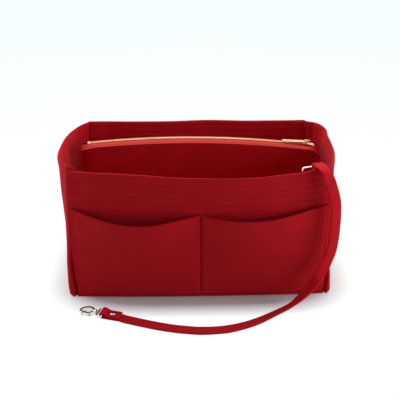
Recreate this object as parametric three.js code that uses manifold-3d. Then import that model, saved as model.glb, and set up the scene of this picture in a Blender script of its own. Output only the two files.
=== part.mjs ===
// Felt purse organizer insert: an open felt box with two slip pockets on its front, a zipped
// pouch across its middle, and a leash strap with a trigger clasp on a ring inside the right
// front corner. Millimetres: X runs to the right, Y to the back and Z up, with the origin at
// the centre of the base, on the surface that the box stands on.
import * as THREE from "three";
import { mergeVertices } from "three/addons/utils/BufferGeometryUtils.js";
import Module from "manifold-3d";

const wasm = await Module();
wasm.setup();

// Sizes of the felt box, corner to corner outside the felt
const HEIGHT = 150;
const RIM_LENGTH_FRONT = 278;
const RIM_LENGTH_BACK = 268;
const BASE_LENGTH = 274;
const RIM_DEPTH = 156;
const BASE_DEPTH = 150;
const RIM_DIP = 2; // the soft rim hangs this much lower in the middle of the front and back

// How far each wall bows out between its corners
const FRONT_BOW_RIM = 20;
const FRONT_BOW_BASE = 4;
const BACK_BOW_RIM = 7;
const BACK_BOW_BASE = 2;
const END_BOW_RIM_LEFT = 16;
const END_BOW_RIM_RIGHT = 12;
const END_BOW_BASE = 2;
const WALL_BOW_POWER = 2.4;
const END_BOW_POWER = 3;

// Felt and its seams
const FELT = 3.2;
const GAP = 0.3; // clearance between two pieces that touch
const SEAM_LIP = 8; // edge of an end panel that is turned in and sewn behind a wall
const CORNER_RADIUS = 5;
const CORNER_PROUD = 2; // the turned corner stands this far outside the wall's own edge
const FACING_HEIGHT = 34;
const FACING_THICKNESS = 2;
const FACING_END_MARGIN = 9.5; // its ends clear the turned seam lips

// Base: outer felt, stiffening board and felt lining
const BOARD_THICKNESS = 1.6;
const BOARD_MARGIN = 4;
const LINING_THICKNESS = 2;

// Front slip pockets, cut from one panel and parted by a seam
const POCKET_FELT = 2.6;
const POCKET_HEIGHT = 107; // top of the pocket at its side edges and at the middle seam
const POCKET_FOOT = 3; // bottom seam above the floor
const POCKET_SCOOP = 10; // how far each mouth dips
const POCKET_SIDE_MARGIN = 3;
const POCKET_BULGE_LEFT = 15;
const POCKET_BULGE_RIGHT = 10;
const POCKET_FLARE_POWER = 0.9;

// Zipped pouch across the middle
const POUCH_Y = 20;
const POUCH_WIDTH = 25;
const POUCH_FELT = 2.5;
const POUCH_END_POWER = 28; // how squarely the pouch closes at its ends
const POUCH_FLARE_POWER = 0.8;

// The zip runs along a gentle arc, highest a little left of the middle of the box
const ZIP_BELOW_RIM = 1.8;
const ZIP_ARC_RADIUS = 1100;
const ZIP_ARC_X = -18;
const TAPE_THICKNESS = 0.6;
const TAPE_END_MARGIN = 1.8;
const TEETH_PITCH = 3;
const TOOTH_WIDTH = 1.15;
const TOOTH_THICKNESS = 2.2;
const TOOTH_REACH = 0.7; // a tooth's tip lies this far past the middle of the zip
const TOOTH_ROOT = 0.4; // its root lies this deep in the bead
const TOOTH_RECESS = 0.05; // it is this much lower than the bead on both faces
const BEAD_OUTER = 3.2;
const BEAD_INNER = 2.2;
const ZIP_LEFT_MARGIN = 12; // from the pouch's left end to the first tooth
const STOP_LENGTH = 2.6;
const STOP_INNER = 1.2;
const TEETH_TO_POST = 0.6; // the rows end this far before the slider's post

// Slider and its pull
const SLIDER_FROM_END = 11; // from the pouch's right end to the middle of the closed slider
const SLIDER_LENGTH = 12;
const SLIDER_WIDTH = 8.8;
const SLIDER_WAIST = 6;
const SLIDER_CORNER_LENGTH = 1;
const SLIDER_CORNER_WIDTH = 1.4;
const PLATE_THICKNESS = 1;
const PLATE_CLEARANCE = 0.3;
const FLANGE_WIDTH = 0.8;
const FLANGE_DROP = 0.6;
const POST_START = 3.2;
const POST_LENGTH = 1.6;
const POST_WIDTH = 1.6;
const BRIDGE_WIDTH = 2.2;
const BRIDGE_INNER_HALF = 2.4;
const BRIDGE_THICKNESS = 1.1;
const PULL_AXIS_HEIGHT = 3.9;
const PULL_BAR_RADIUS = 0.7;
const PULL_LENGTH = 29;
const PULL_WIDTH = 6;
const PULL_THICKNESS = 1.2;
const PULL_CORNER = 1.2;
const PULL_FRAME = 2.2; // metal between the pull's far end and its window
const PULL_EYE_LENGTH = 4.3;
const PULL_EYE_WIDTH = 3;
const PULL_WINDOW_LENGTH = 6;
const PULL_WINDOW_WIDTH = 2.6;
const PULL_TILT = THREE.MathUtils.degToRad(4.2);

// Leash ring and its tab inside the right front corner
const RING_FROM_CORNER = 19.5; // from the rim's right front corner to the middle of the ring
const RING_BELOW_RIM = 12; // the ring's lower bar
const RING_INNER_WIDTH = 24;
const RING_HEIGHT = 11.6; // between the middles of the two long bars
const RING_WIRE_RADIUS = 1.2;
const RING_CORNER = 2.4;
const RING_LEAN = THREE.MathUtils.degToRad(18);
const TAB_WIDTH = 10;
const TAB_OFFSET = -1;
const TAB_THICKNESS = 1.2;
const TAB_DROP = 15;
const TAB_CLOSE_DROP = 9; // its two layers meet this far below the ring's bar

// Leash strap: points of its middle line between its two ends, chosen by hand, each with the
// direction of its width. "along" is a share of half the front rim, "out" a distance in front
// of the rim's corners, "up" a share of the box's height, and "lift" a height over the floor.
const STRAP_WIDTH = 12;
const STRAP_THICKNESS = 2.4;
const STRAP_STEPS = 78;
const STRAP_SECTION = [ // as shares of its width and thickness
  [-0.5, -0.3],
  [-0.46, -0.5],
  [0.46, -0.5],
  [0.5, -0.3],
  [0.5, 0.3],
  [0.46, 0.5],
  [-0.46, 0.5],
  [-0.5, 0.3],
];
const STRAP_ROUTE = [
  { along: 0.903, out: 5, up: 1.014, across: [0.94, 0.34, -0.06] },
  { along: 0.922, out: 10.4, up: 0.999, across: [0.9, 0.34, -0.25] },
  { along: 0.946, out: 13, up: 0.952, across: [0.88, 0.2, -0.46] },
  { along: 0.977, out: 13.6, up: 0.873, across: [0.93, 0.06, -0.36] },
  { along: 1.003, out: 14.2, up: 0.793, across: [0.98, 0.04, -0.18] },
  { along: 1.013, out: 14.8, up: 0.705, across: [1, 0.02, -0.04] },
  { along: 1.015, out: 15.6, up: 0.607, across: [1, 0, 0.02] },
  { along: 1.011, out: 16.6, up: 0.497, across: [0.99, 0.02, 0.12] },
  { along: 0.998, out: 17.8, up: 0.407, across: [0.95, 0.02, 0.3] },
  { along: 0.967, out: 19.8, up: 0.327, across: [0.88, 0, 0.46] },
  { along: 0.909, out: 23.2, up: 0.224, across: [0.8, -0.08, 0.58] },
  { along: 0.822, out: 28.4, up: 0.124, across: [0.72, -0.3, 0.56] },
  { along: 0.702, out: 36.4, up: 0.048, across: [0.62, -0.66, 0.34] },
  { along: 0.565, out: 47.2, lift: 1.4, across: [0.55, -0.83, 0.1] },
  { along: 0.378, out: 62.8, lift: 0.5, across: [0.46, -0.89, 0] },
  { along: 0.196, out: 71.8, lift: 0.4, across: [0.22, -0.97, 0] },
  { along: 0.014, out: 74.2, lift: 0.4, across: [-0.02, -1, 0] },
  { along: -0.115, out: 72.4, lift: 0.4, across: [-0.14, -0.99, 0] },
  { along: -0.259, out: 68, lift: 0.4, across: [-0.24, -0.97, 0] },
  { along: -0.422, out: 60.6, lift: 0.5, across: [-0.31, -0.95, 0] },
  { along: -0.598, out: 51.3, lift: 0.9, across: [-0.31, -0.95, 0] },
];
const RING_FLAP_LENGTH = 5.6;
const CLASP_FLAP_LENGTH = 19;
const FLAP_EASE = 7; // length over which a flap settles onto the strap
const FLAP_START = 1.3; // a fold starts this far from the middle of its bar
const STRAP_START = 1.6; // and the strap itself this far
const STRAP_STRAIGHT = 9; // the strap runs straight for this length at both ends
const RING_STRAIGHT = 6;
const FOLD_OFFSET = 4; // the strap has slid this far to the right along the ring's bar

// Rivet through the strap's clasp end
const RIVET_DISTANCE = 10.5; // from the clasp's eye bar
const RIVET_HEAD_RADIUS = 3.2;
const RIVET_HEAD_HEIGHT = 1.1;
const RIVET_BACK_HEIGHT = 0.6;
const RIVET_POST_RADIUS = 1.1;
const RIVET_BACK_RADIUS = 2.9;
const RIVET_RIM_HEIGHT = 0.4; // straight edge of the head, under its dome
const RIVET_DOME_RADIUS = 2.4;
const RIVET_DOME_HEIGHT = 0.95;

// Trigger clasp, lying on the surface in front of the box
const CLASP_ALONG = -0.7475; // its eye bar, as a share of half the front rim
const CLASP_OUT = 44.5; // and in front of the rim's corners
const CLASP_LIFT = 1.2; // strap's end over the floor
const CLASP_HEADING = THREE.MathUtils.degToRad(162);
const CLASP_TILT = THREE.MathUtils.degToRad(5.4);
const EYE_WIRE_RADIUS = 1.1;
const EYE_INNER_WIDTH = 12.9;
const EYE_LENGTH = 6.6; // between the middles of its two long bars
const EYE_CORNER = 2.2;
const EYE_OVERLAP = 0.4; // how far the boss runs into the eye's bar
const BOSS_RADIUS = 2.4;
const BOSS_LENGTH = 2;
const STUD_RADIUS = 1.3;
const STUD_HEAD_RADIUS = 2;
const STUD_HEAD_LENGTH = 1;
const COLLAR_RADIUS = 3;
const COLLAR_LENGTH = 3.6;
const HOOK_HALF_LENGTH = 8.6;
const HOOK_HALF_WIDTH = 6.8;
const HOOK_WALL = 2.4;
const HOOK_THICKNESS = 4.4;
const HOOK_OVERLAP = 1.6; // how far the hook's loop runs into its collar
const ENTRY_BACK = 2.6; // the hook's entry, behind and ahead of the middle of its loop
const ENTRY_AHEAD = 3;
const GATE_THICKNESS = 2.8;
const GATE_WIDTH = 2.4;
const GATE_REACH = 9.2; // from the gate's pin to its tip
const GATE_TIP_SHARE = 0.6; // width of the tip as a share of the gate's width
const GATE_SHOULDER_SHARE = 0.9; // and its width ahead of the thumb tab
const GATE_ANGLE = THREE.MathUtils.degToRad(-18.5);
const GATE_TRAVEL = THREE.MathUtils.degToRad(28);
const GATE_PIN_RADIUS = 0.7;
const GATE_PIN_BACK = 4.3; // from the middle of the hook's loop back to the pin
const GATE_TAB_HEIGHT = 3.2;
const GATE_TAB_START = 3.2;
const GATE_TAB_LENGTH = 1.3;
const COIL_ROOM = 1.8;
const SPRING_WIRE_RADIUS = 0.2;
const SPRING_COIL_RADIUS = 1.15;
const SPRING_PITCH = 0.6;
const SPRING_ROOM = 0.2;
const SPRING_LEG_AHEAD = 4.2;
const SPRING_LEG_BACK = 1.1;
const SPRING_LEG_DROP = 1.9;
const SPRING_SWEEP = THREE.MathUtils.degToRad(330);
const SPRING_STEPS = 16;
const CUT_SPARE = 1; // a cutting shape reaches this far past what it cuts

// Finishes
const feltRed = { color: 0x9d1219, roughness: 0.95, metalness: 0 };
const tapeRed = { color: 0xc4251c, roughness: 0.7, metalness: 0 };
const brassLight = { color: 0xe9cf9a, roughness: 0.25, metalness: 1 };
const nickel = { color: 0xd8d8d6, roughness: 0.2, metalness: 1 };
const boardGrey = { color: 0x3a3a3c, roughness: 0.6, metalness: 0 };

// Small maths
const mix = (from, to, share) => from + (to - from) * share;
const crown = (t, power) => 1 - Math.min(1, Math.abs(t)) ** power;
const towardsEnds = (share) => Math.sin((share - 0.5) * Math.PI); // -1 to 1, closer at the ends

// Turns triangles outwards and makes them a geometry with flat shading
function closedGeometry(points, triangles) {
  let volume = 0;
  for (const [a, b, c] of triangles)
    volume += points[a].dot(points[b].clone().cross(points[c]));
  const facing = volume < 0 ? triangles.map(([a, b, c]) => [a, c, b]) : triangles;
  const geometry = new THREE.BufferGeometry();
  const flat = new Float32Array(points.flatMap((p) => [p.x, p.y, p.z]));
  geometry.setAttribute("position", new THREE.BufferAttribute(flat, 3));
  geometry.setIndex(facing.flat());
  geometry.computeVertexNormals();
  return geometry;
}

// Closed solid between two faces, each given at (u, v) from 0 to 1
function sheetSolid(faceA, faceB, columns, rows) {
  const points = [];
  for (const face of [faceA, faceB])
    for (let i = 0; i <= columns; i++)
      for (let j = 0; j <= rows; j++) points.push(face(i / columns, j / rows));
  const side = (columns + 1) * (rows + 1);
  const at = (i, j, onB) => i * (rows + 1) + j + (onB ? side : 0);
  const triangles = [];
  const quad = (a, b, c, d) => triangles.push([a, b, c], [a, c, d]);
  for (let i = 0; i < columns; i++)
    for (let j = 0; j < rows; j++) {
      quad(at(i, j), at(i + 1, j), at(i + 1, j + 1), at(i, j + 1));
      quad(at(i, j, 1), at(i, j + 1, 1), at(i + 1, j + 1, 1), at(i + 1, j, 1));
    }
  for (let i = 0; i < columns; i++) {
    quad(at(i, 0), at(i, 0, 1), at(i + 1, 0, 1), at(i + 1, 0));
    quad(at(i, rows), at(i + 1, rows), at(i + 1, rows, 1), at(i, rows, 1));
  }
  for (let j = 0; j < rows; j++) {
    quad(at(0, j), at(0, j + 1), at(0, j + 1, 1), at(0, j, 1));
    quad(at(columns, j), at(columns, j, 1), at(columns, j + 1, 1), at(columns, j + 1));
  }
  return closedGeometry(points, triangles);
}

// Closed solid through rings of points; a closed path joins its last ring to its first
function ringSolid(rings, closedPath) {
  const count = rings[0].length;
  const points = rings.flat();
  const triangles = [];
  const last = closedPath ? rings.length : rings.length - 1;
  for (let i = 0; i < last; i++)
    for (let j = 0; j < count; j++) {
      const a = i * count + j;
      const b = i * count + ((j + 1) % count);
      const c = ((i + 1) % rings.length) * count + ((j + 1) % count);
      const d = ((i + 1) % rings.length) * count + j;
      triangles.push([a, b, c], [a, c, d]);
    }
  const end = (rings.length - 1) * count;
  for (let j = 1; j < count - 1 && !closedPath; j++)
    triangles.push([0, j + 1, j], [end, end + j, end + j + 1]);
  return closedGeometry(points, triangles);
}

// Joins and cuts
function toSolid(geometry) {
  const bare = geometry.clone();
  bare.deleteAttribute("normal");
  bare.deleteAttribute("uv");
  const merged = mergeVertices(bare, 1e-4);
  return new wasm.Manifold(
    new wasm.Mesh({
      numProp: 3,
      vertProperties: merged.attributes.position.array,
      triVerts: new Uint32Array(merged.index.array),
    }),
  );
}
function toGeometry(solid) {
  const mesh = solid.getMesh();
  const geometry = new THREE.BufferGeometry();
  const flat = new Float32Array(mesh.vertProperties);
  geometry.setAttribute("position", new THREE.BufferAttribute(flat, 3));
  geometry.setIndex([...mesh.triVerts]);
  geometry.computeVertexNormals();
  return geometry;
}
const joined = (...shapes) => toGeometry(shapes.map(toSolid).reduce((a, b) => a.add(b)));
const cut = (shape, ...tools) =>
  toGeometry(tools.map(toSolid).reduce((a, b) => a.subtract(b), toSolid(shape)));

const block = (low, high) =>
  new THREE.BoxGeometry(high[0] - low[0], high[1] - low[1], high[2] - low[2]).translate(
    (low[0] + high[0]) / 2,
    (low[1] + high[1]) / 2,
    (low[2] + high[2]) / 2,
  );
// Round bar along X, Y or Z from one place on that axis to another
function bar(axis, from, to, radius, sides = 20) {
  const geometry = new THREE.CylinderGeometry(radius, radius, to - from, sides);
  if (axis === "x") geometry.rotateZ(-Math.PI / 2).translate((from + to) / 2, 0, 0);
  if (axis === "y") geometry.translate(0, (from + to) / 2, 0);
  if (axis === "z") geometry.rotateX(Math.PI / 2).translate(0, 0, (from + to) / 2);
  return geometry;
}

const organizer = new THREE.Group();
function addPart(name, geometry, finish, parent = organizer) {
  const mesh = new THREE.Mesh(geometry, new THREE.MeshStandardMaterial(finish));
  mesh.name = name;
  parent.add(mesh);
  return mesh;
}

// Walls: the front and the back share one form
const FRONT = { sign: -1, rim: RIM_LENGTH_FRONT, bowRim: FRONT_BOW_RIM, bowBase: FRONT_BOW_BASE };
const BACK = { sign: 1, rim: RIM_LENGTH_BACK, bowRim: BACK_BOW_RIM, bowBase: BACK_BOW_BASE };
const halfLength = (wall, z) => mix(BASE_LENGTH, wall.rim, z / HEIGHT) / 2;
const halfDepth = (z) => mix(BASE_DEPTH, RIM_DEPTH, z / HEIGHT) / 2;
const rimHeight = (t) => HEIGHT - RIM_DIP * crown(t, 2);
// Y of a wall at x and z, inset from its outer face towards the inside of the box
function wallFace(wall, x, z, inset) {
  const bow = mix(wall.bowBase, wall.bowRim, z / HEIGHT);
  const proud = bow * crown(x / halfLength(wall, z), WALL_BOW_POWER);
  return wall.sign * (halfDepth(z) + proud - inset);
}
function wallSheet(wall, endMargin, lowAt, highAt, insetA, insetB, columns, rows) {
  const face = (inset) => (u, v) => {
    const t = towardsEnds(u);
    const z = mix(lowAt(t), highAt(t), v);
    const x = t * (halfLength(wall, z) - endMargin);
    return new THREE.Vector3(x, wallFace(wall, x, z, inset), z);
  };
  return sheetSolid(face(insetA), face(insetB), columns, rows);
}
function outerPanel(wall) {
  return wallSheet(wall, 0, () => 0, rimHeight, 0, FELT, 20, 4);
}
function rimFacing(wall) {
  const low = () => HEIGHT - FACING_HEIGHT;
  const inset = FELT + GAP;
  const deep = inset + FACING_THICKNESS;
  return wallSheet(wall, FACING_END_MARGIN, low, rimHeight, inset, deep, 20, 1);
}
addPart("front_panel", outerPanel(FRONT), feltRed);
addPart("back_panel", outerPanel(BACK), feltRed);
addPart("front_rim_facing", rimFacing(FRONT), feltRed);
addPart("back_rim_facing", rimFacing(BACK), feltRed);

// End panels: each turns in behind the front and the back wall
const SEAM_INSET = FELT + GAP;
function endOuterX(y, z, side) {
  const near = wallFace(FRONT, halfLength(FRONT, z), z, SEAM_INSET) + CORNER_RADIUS;
  const far = wallFace(BACK, halfLength(BACK, z), z, SEAM_INSET) - CORNER_RADIUS;
  const share = (y - near) / (far - near);
  const line = mix(halfLength(FRONT, z), halfLength(BACK, z), share) + CORNER_PROUD;
  const bowRim = side < 0 ? END_BOW_RIM_LEFT : END_BOW_RIM_RIGHT;
  const bow = mix(END_BOW_BASE, bowRim, z / HEIGHT);
  return line + bow * crown(2 * share - 1, END_BOW_POWER);
}
function endProfile(z, side) {
  const points = [];
  for (const wall of [FRONT, BACK]) {
    const half = [];
    const edge = halfLength(wall, z);
    const arcX = edge + CORNER_PROUD - CORNER_RADIUS;
    for (const x of [edge - SEAM_LIP, (edge - SEAM_LIP + arcX) / 2])
      half.push([x, wallFace(wall, x, z, SEAM_INSET)]);
    const start = wallFace(wall, arcX, z, SEAM_INSET);
    for (let k = 0; k <= 4; k++) {
      const angle = (k / 4) * (Math.PI / 2);
      const y = start - wall.sign * CORNER_RADIUS * (1 - Math.cos(angle));
      half.push([arcX + CORNER_RADIUS * Math.sin(angle), y]);
    }
    points.push(half);
  }
  const [front, back] = points;
  const near = front[front.length - 1][1];
  const far = back[back.length - 1][1];
  const middle = [];
  for (let k = 1; k < 12; k++) {
    const y = mix(near, far, (1 - Math.cos((k / 12) * Math.PI)) / 2);
    middle.push([endOuterX(y, z, side), y]);
  }
  return [...front, ...middle, ...back.reverse()];
}
function inward(profile, distance) {
  return profile.map(([x, y], i) => {
    const before = profile[Math.max(0, i - 1)];
    const after = profile[Math.min(profile.length - 1, i + 1)];
    const run = Math.hypot(after[0] - before[0], after[1] - before[1]);
    return [
      x - (distance * (after[1] - before[1])) / run,
      y + (distance * (after[0] - before[0])) / run,
    ];
  });
}
function endPanel(side) {
  const rows = 4;
  const levels = [...Array(rows + 1)].map((_, j) => (HEIGHT * j) / rows);
  const outer = levels.map((z) => endProfile(z, side));
  const inner = outer.map((profile) => inward(profile, FELT));
  const columns = outer[0].length - 1;
  const face = (profiles) => (u, v) => {
    const [x, y] = profiles[Math.round(v * rows)][Math.round(u * columns)];
    return new THREE.Vector3(side * x, y, levels[Math.round(v * rows)]);
  };
  return sheetSolid(face(outer), face(inner), columns, rows);
}
addPart("left_end_panel", endPanel(-1), feltRed);
addPart("right_end_panel", endPanel(1), feltRed);

// Base: its outline follows the walls and steps in round the turned seam lips
function baseOutline(margin) {
  const quarter = (wall) => {
    const edge = halfLength(wall, 0);
    const lipX = edge - SEAM_LIP - GAP - margin;
    const points = [];
    for (let k = 0; k <= 4; k++) {
      const x = (lipX * k) / 4;
      points.push([x, wallFace(wall, x, 0, FELT + GAP + margin)]);
    }
    const lipInset = SEAM_INSET + FELT + GAP + margin;
    points.push([lipX, wallFace(wall, lipX, 0, lipInset)]);
    const endY = wallFace(wall, edge, 0, lipInset);
    const endX = endOuterX(endY, 0, 1) - FELT - GAP - margin;
    points.push([endX - CORNER_PROUD, wallFace(wall, endX - CORNER_PROUD, 0, lipInset)]);
    points.push([endX, endY - wall.sign * CORNER_PROUD]);
    return points;
  };
  const right = [...quarter(FRONT), ...quarter(BACK).reverse()];
  const left = right.slice(1, -1).reverse();
  return new THREE.Shape(
    [...right, ...left.map(([x, y]) => [-x, y])].map(([x, y]) => new THREE.Vector2(x, y)),
  );
}
function baseLayer(margin, low, thickness) {
  const options = { depth: thickness, bevelEnabled: false };
  return new THREE.ExtrudeGeometry(baseOutline(margin), options).translate(0, 0, low);
}
const BOARD_LOW = FELT + GAP;
const LINING_LOW = BOARD_LOW + BOARD_THICKNESS + GAP;
const FLOOR_TOP = LINING_LOW + LINING_THICKNESS;
addPart("base_panel", baseLayer(0, 0, FELT), feltRed);
addPart("base_board", baseLayer(BOARD_MARGIN, BOARD_LOW, BOARD_THICKNESS), boardGrey);
addPart("base_lining", baseLayer(GAP, LINING_LOW, LINING_THICKNESS), feltRed);

// Front pockets: one panel that stands off the wall between its side and middle seams
function pocketPanel() {
  const bulge = (t) => (t < 0 ? POCKET_BULGE_LEFT : POCKET_BULGE_RIGHT);
  const lobe = (t) => Math.sin(Math.PI * Math.abs(t));
  const top = (t) => POCKET_HEIGHT - POCKET_SCOOP * lobe(t);
  const face = (layer) => (u, v) => {
    const t = mix(-1, 1, u);
    const z = mix(POCKET_FOOT, top(t), v);
    const x = t * (halfLength(FRONT, z) - POCKET_SIDE_MARGIN);
    const standOff = GAP + bulge(t) * lobe(t) * v ** POCKET_FLARE_POWER;
    return new THREE.Vector3(x, wallFace(FRONT, x, z, -standOff - layer), z);
  };
  return sheetSolid(face(POCKET_FELT), face(0), 28, 6);
}
addPart("front_pocket_panel", pocketPanel(), feltRed);

// Arc of the zip: onArc and bend put straight geometry, drawn at its height over the tape, on it
const ZIP_CENTRE_Z = HEIGHT - ZIP_BELOW_RIM - ZIP_ARC_RADIUS;
const arcAngle = (x) => (x - ZIP_ARC_X) / ZIP_ARC_RADIUS;
function onArc(x, y, height) {
  const angle = arcAngle(x);
  const radius = ZIP_ARC_RADIUS + height;
  return new THREE.Vector3(
    ZIP_ARC_X + radius * Math.sin(angle),
    y,
    ZIP_CENTRE_Z + radius * Math.cos(angle),
  );
}
function bend(geometry) {
  const place = geometry.attributes.position;
  for (let i = 0; i < place.count; i++) {
    const p = onArc(place.getX(i), place.getY(i), place.getZ(i));
    place.setXYZ(i, p.x, p.y, p.z);
  }
  return geometry;
}

// Pouch: two felt panels sewn together at the foot and the ends
const pouchHalfLength = endOuterX(POUCH_Y, FLOOR_TOP, 1) - FELT - 2 * GAP;
const pouchInnerHalf = (t, v) =>
  GAP / 2 +
  (POUCH_WIDTH / 2 - POUCH_FELT - GAP / 2) * crown(t, POUCH_END_POWER) * v ** POUCH_FLARE_POWER;
function pouchPanel(side) {
  const face = (layer) => (u, v) => {
    const t = towardsEnds(u);
    const x = t * pouchHalfLength;
    const top = onArc(x, 0, -TAPE_THICKNESS / 2 - GAP).z;
    const z = mix(FLOOR_TOP + GAP, top, v);
    return new THREE.Vector3(x, POUCH_Y + side * (pouchInnerHalf(t, v) + layer), z);
  };
  return sheetSolid(face(POUCH_FELT), face(0), 32, 5);
}
addPart("pouch_front_panel", pouchPanel(-1), feltRed);
addPart("pouch_back_panel", pouchPanel(1), feltRed);

// Zip tapes and teeth
const BEAD_EDGE = BEAD_OUTER + GAP;
const tapeHalf = pouchHalfLength - TAPE_END_MARGIN;
function zipTape(side) {
  const face = (height) => (u, v) => {
    const x = tapeHalf * towardsEnds(u);
    const outer = pouchInnerHalf(x / pouchHalfLength, 1) + POUCH_FELT;
    return onArc(x, POUCH_Y + side * mix(BEAD_EDGE, outer, v), height);
  };
  return sheetSolid(face(TAPE_THICKNESS / 2), face(-TAPE_THICKNESS / 2), 32, 1);
}
const SLIDER_X = pouchHalfLength - SLIDER_FROM_END;
const teethStart = ZIP_LEFT_MARGIN - pouchHalfLength;
const teethEnd = SLIDER_X + POST_START - TEETH_TO_POST;
function teethRow(side) {
  const half = TOOTH_THICKNESS / 2;
  const near = Math.min(side * BEAD_INNER, side * BEAD_OUTER);
  const bead = new THREE.BoxGeometry(
    teethEnd - teethStart,
    BEAD_OUTER - BEAD_INNER,
    TOOTH_THICKNESS,
    24,
    1,
    1,
  ).translate((teethStart + teethEnd) / 2, near + (BEAD_OUTER - BEAD_INNER) / 2, 0);
  let row = toSolid(bend(bead));
  const first = teethStart + (side < 0 ? TEETH_PITCH / 4 : (3 * TEETH_PITCH) / 4);
  for (let x = first; x + TOOTH_WIDTH / 2 < teethEnd; x += TEETH_PITCH) {
    const root = side * (BEAD_INNER + TOOTH_ROOT);
    const [from, to] = [root, -side * TOOTH_REACH].sort((a, b) => a - b);
    const low = [x - TOOTH_WIDTH / 2, from, TOOTH_RECESS - half];
    const high = [x + TOOTH_WIDTH / 2, to, half - TOOTH_RECESS];
    row = row.add(toSolid(bend(block(low, high))));
  }
  return toGeometry(row).translate(0, POUCH_Y, 0);
}
addPart("zip_tape_front", zipTape(-1), tapeRed);
addPart("zip_tape_rear", zipTape(1), tapeRed);
addPart("zip_teeth_front", teethRow(-1), brassLight);
addPart("zip_teeth_rear", teethRow(1), brassLight);

// Stops at both ends of the zip
const STOP_HALF_THICKNESS = TOOTH_THICKNESS / 2 + PLATE_CLEARANCE + GAP;
const topStopX = SLIDER_X + SLIDER_LENGTH / 2 + GAP;
function zipStop(fromX, lowY, highY) {
  const low = [fromX, lowY, -STOP_HALF_THICKNESS];
  const high = [fromX + STOP_LENGTH, highY, STOP_HALF_THICKNESS];
  return bend(block(low, high)).translate(0, POUCH_Y, 0);
}
addPart("zip_top_stop_front", zipStop(topStopX, -BEAD_OUTER, -STOP_INNER), brassLight);
addPart("zip_top_stop_rear", zipStop(topStopX, STOP_INNER, BEAD_OUTER), brassLight);
const bottomStopX = teethStart - GAP - STOP_LENGTH;
addPart("zip_bottom_stop", zipStop(bottomStopX, -BEAD_OUTER, BEAD_OUTER), brassLight);

// Slider: two plates round the teeth, a post between the rows and a bridge for the pull
function sliderBody() {
  const plateLow = TOOTH_THICKNESS / 2 + PLATE_CLEARANCE;
  const end = SLIDER_LENGTH / 2;
  const wide = SLIDER_WIDTH / 2;
  const outline = new THREE.Shape();
  outline.moveTo(-end, -SLIDER_WAIST / 2);
  outline.lineTo(-end, SLIDER_WAIST / 2);
  outline.quadraticCurveTo(-end / 2, wide, 0, wide);
  outline.lineTo(end - SLIDER_CORNER_LENGTH, wide);
  outline.quadraticCurveTo(end, wide, end, wide - SLIDER_CORNER_WIDTH);
  outline.lineTo(end, SLIDER_CORNER_WIDTH - wide);
  outline.quadraticCurveTo(end, -wide, end - SLIDER_CORNER_LENGTH, -wide);
  outline.lineTo(0, -wide);
  outline.quadraticCurveTo(-end / 2, -wide, -end, -SLIDER_WAIST / 2);
  const options = { depth: PLATE_THICKNESS, bevelEnabled: false, curveSegments: 4 };
  const plate = new THREE.ExtrudeGeometry(outline, options);
  const shapes = [
    plate.clone().translate(0, 0, plateLow),
    plate.clone().translate(0, 0, -plateLow - PLATE_THICKNESS),
  ];
  const postHigh = plateLow + PLATE_THICKNESS / 2;
  const postEnd = POST_START + POST_LENGTH;
  shapes.push(
    block([POST_START, -POST_WIDTH / 2, -postHigh], [postEnd, POST_WIDTH / 2, postHigh]),
  );
  for (const side of [-1, 1])
    for (const face of [-1, 1]) {
      const flangeY = [side * wide, side * (wide - FLANGE_WIDTH)].sort((a, b) => a - b);
      const flangeZ = [face * (plateLow + PLATE_THICKNESS / 2), face * (plateLow - FLANGE_DROP)];
      flangeZ.sort((a, b) => a - b);
      const flangeEnd = end - SLIDER_CORNER_LENGTH;
      shapes.push(block([0, flangeY[0], flangeZ[0]], [flangeEnd, flangeY[1], flangeZ[1]]));
    }
  const legHalf = BRIDGE_INNER_HALF + BRIDGE_THICKNESS;
  const archLow = PULL_AXIS_HEIGHT + PULL_BAR_RADIUS + GAP;
  const archHigh = archLow + BRIDGE_THICKNESS;
  const arch = new THREE.Shape();
  arch.moveTo(-legHalf, plateLow + PLATE_THICKNESS / 2);
  arch.lineTo(-legHalf, archLow);
  arch.quadraticCurveTo(-legHalf, archHigh, -BRIDGE_INNER_HALF, archHigh);
  arch.lineTo(BRIDGE_INNER_HALF, archHigh);
  arch.quadraticCurveTo(legHalf, archHigh, legHalf, archLow);
  arch.lineTo(legHalf, plateLow + PLATE_THICKNESS / 2);
  arch.lineTo(BRIDGE_INNER_HALF, plateLow + PLATE_THICKNESS / 2);
  arch.lineTo(BRIDGE_INNER_HALF, archLow);
  arch.lineTo(-BRIDGE_INNER_HALF, archLow);
  arch.lineTo(-BRIDGE_INNER_HALF, plateLow + PLATE_THICKNESS / 2);
  const archOptions = { depth: BRIDGE_WIDTH, bevelEnabled: false, curveSegments: 3 };
  shapes.push(
    new THREE.ExtrudeGeometry(arch, archOptions)
      .rotateX(Math.PI / 2)
      .translate(0, BRIDGE_WIDTH / 2, 0),
  );
  return joined(...shapes);
}
const sliderGroup = new THREE.Group();
sliderGroup.position.copy(onArc(SLIDER_X, POUCH_Y, 0));
sliderGroup.rotation.y = arcAngle(SLIDER_X);
organizer.add(sliderGroup);
addPart("zip_slider_body", sliderBody(), brassLight, sliderGroup);

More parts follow.
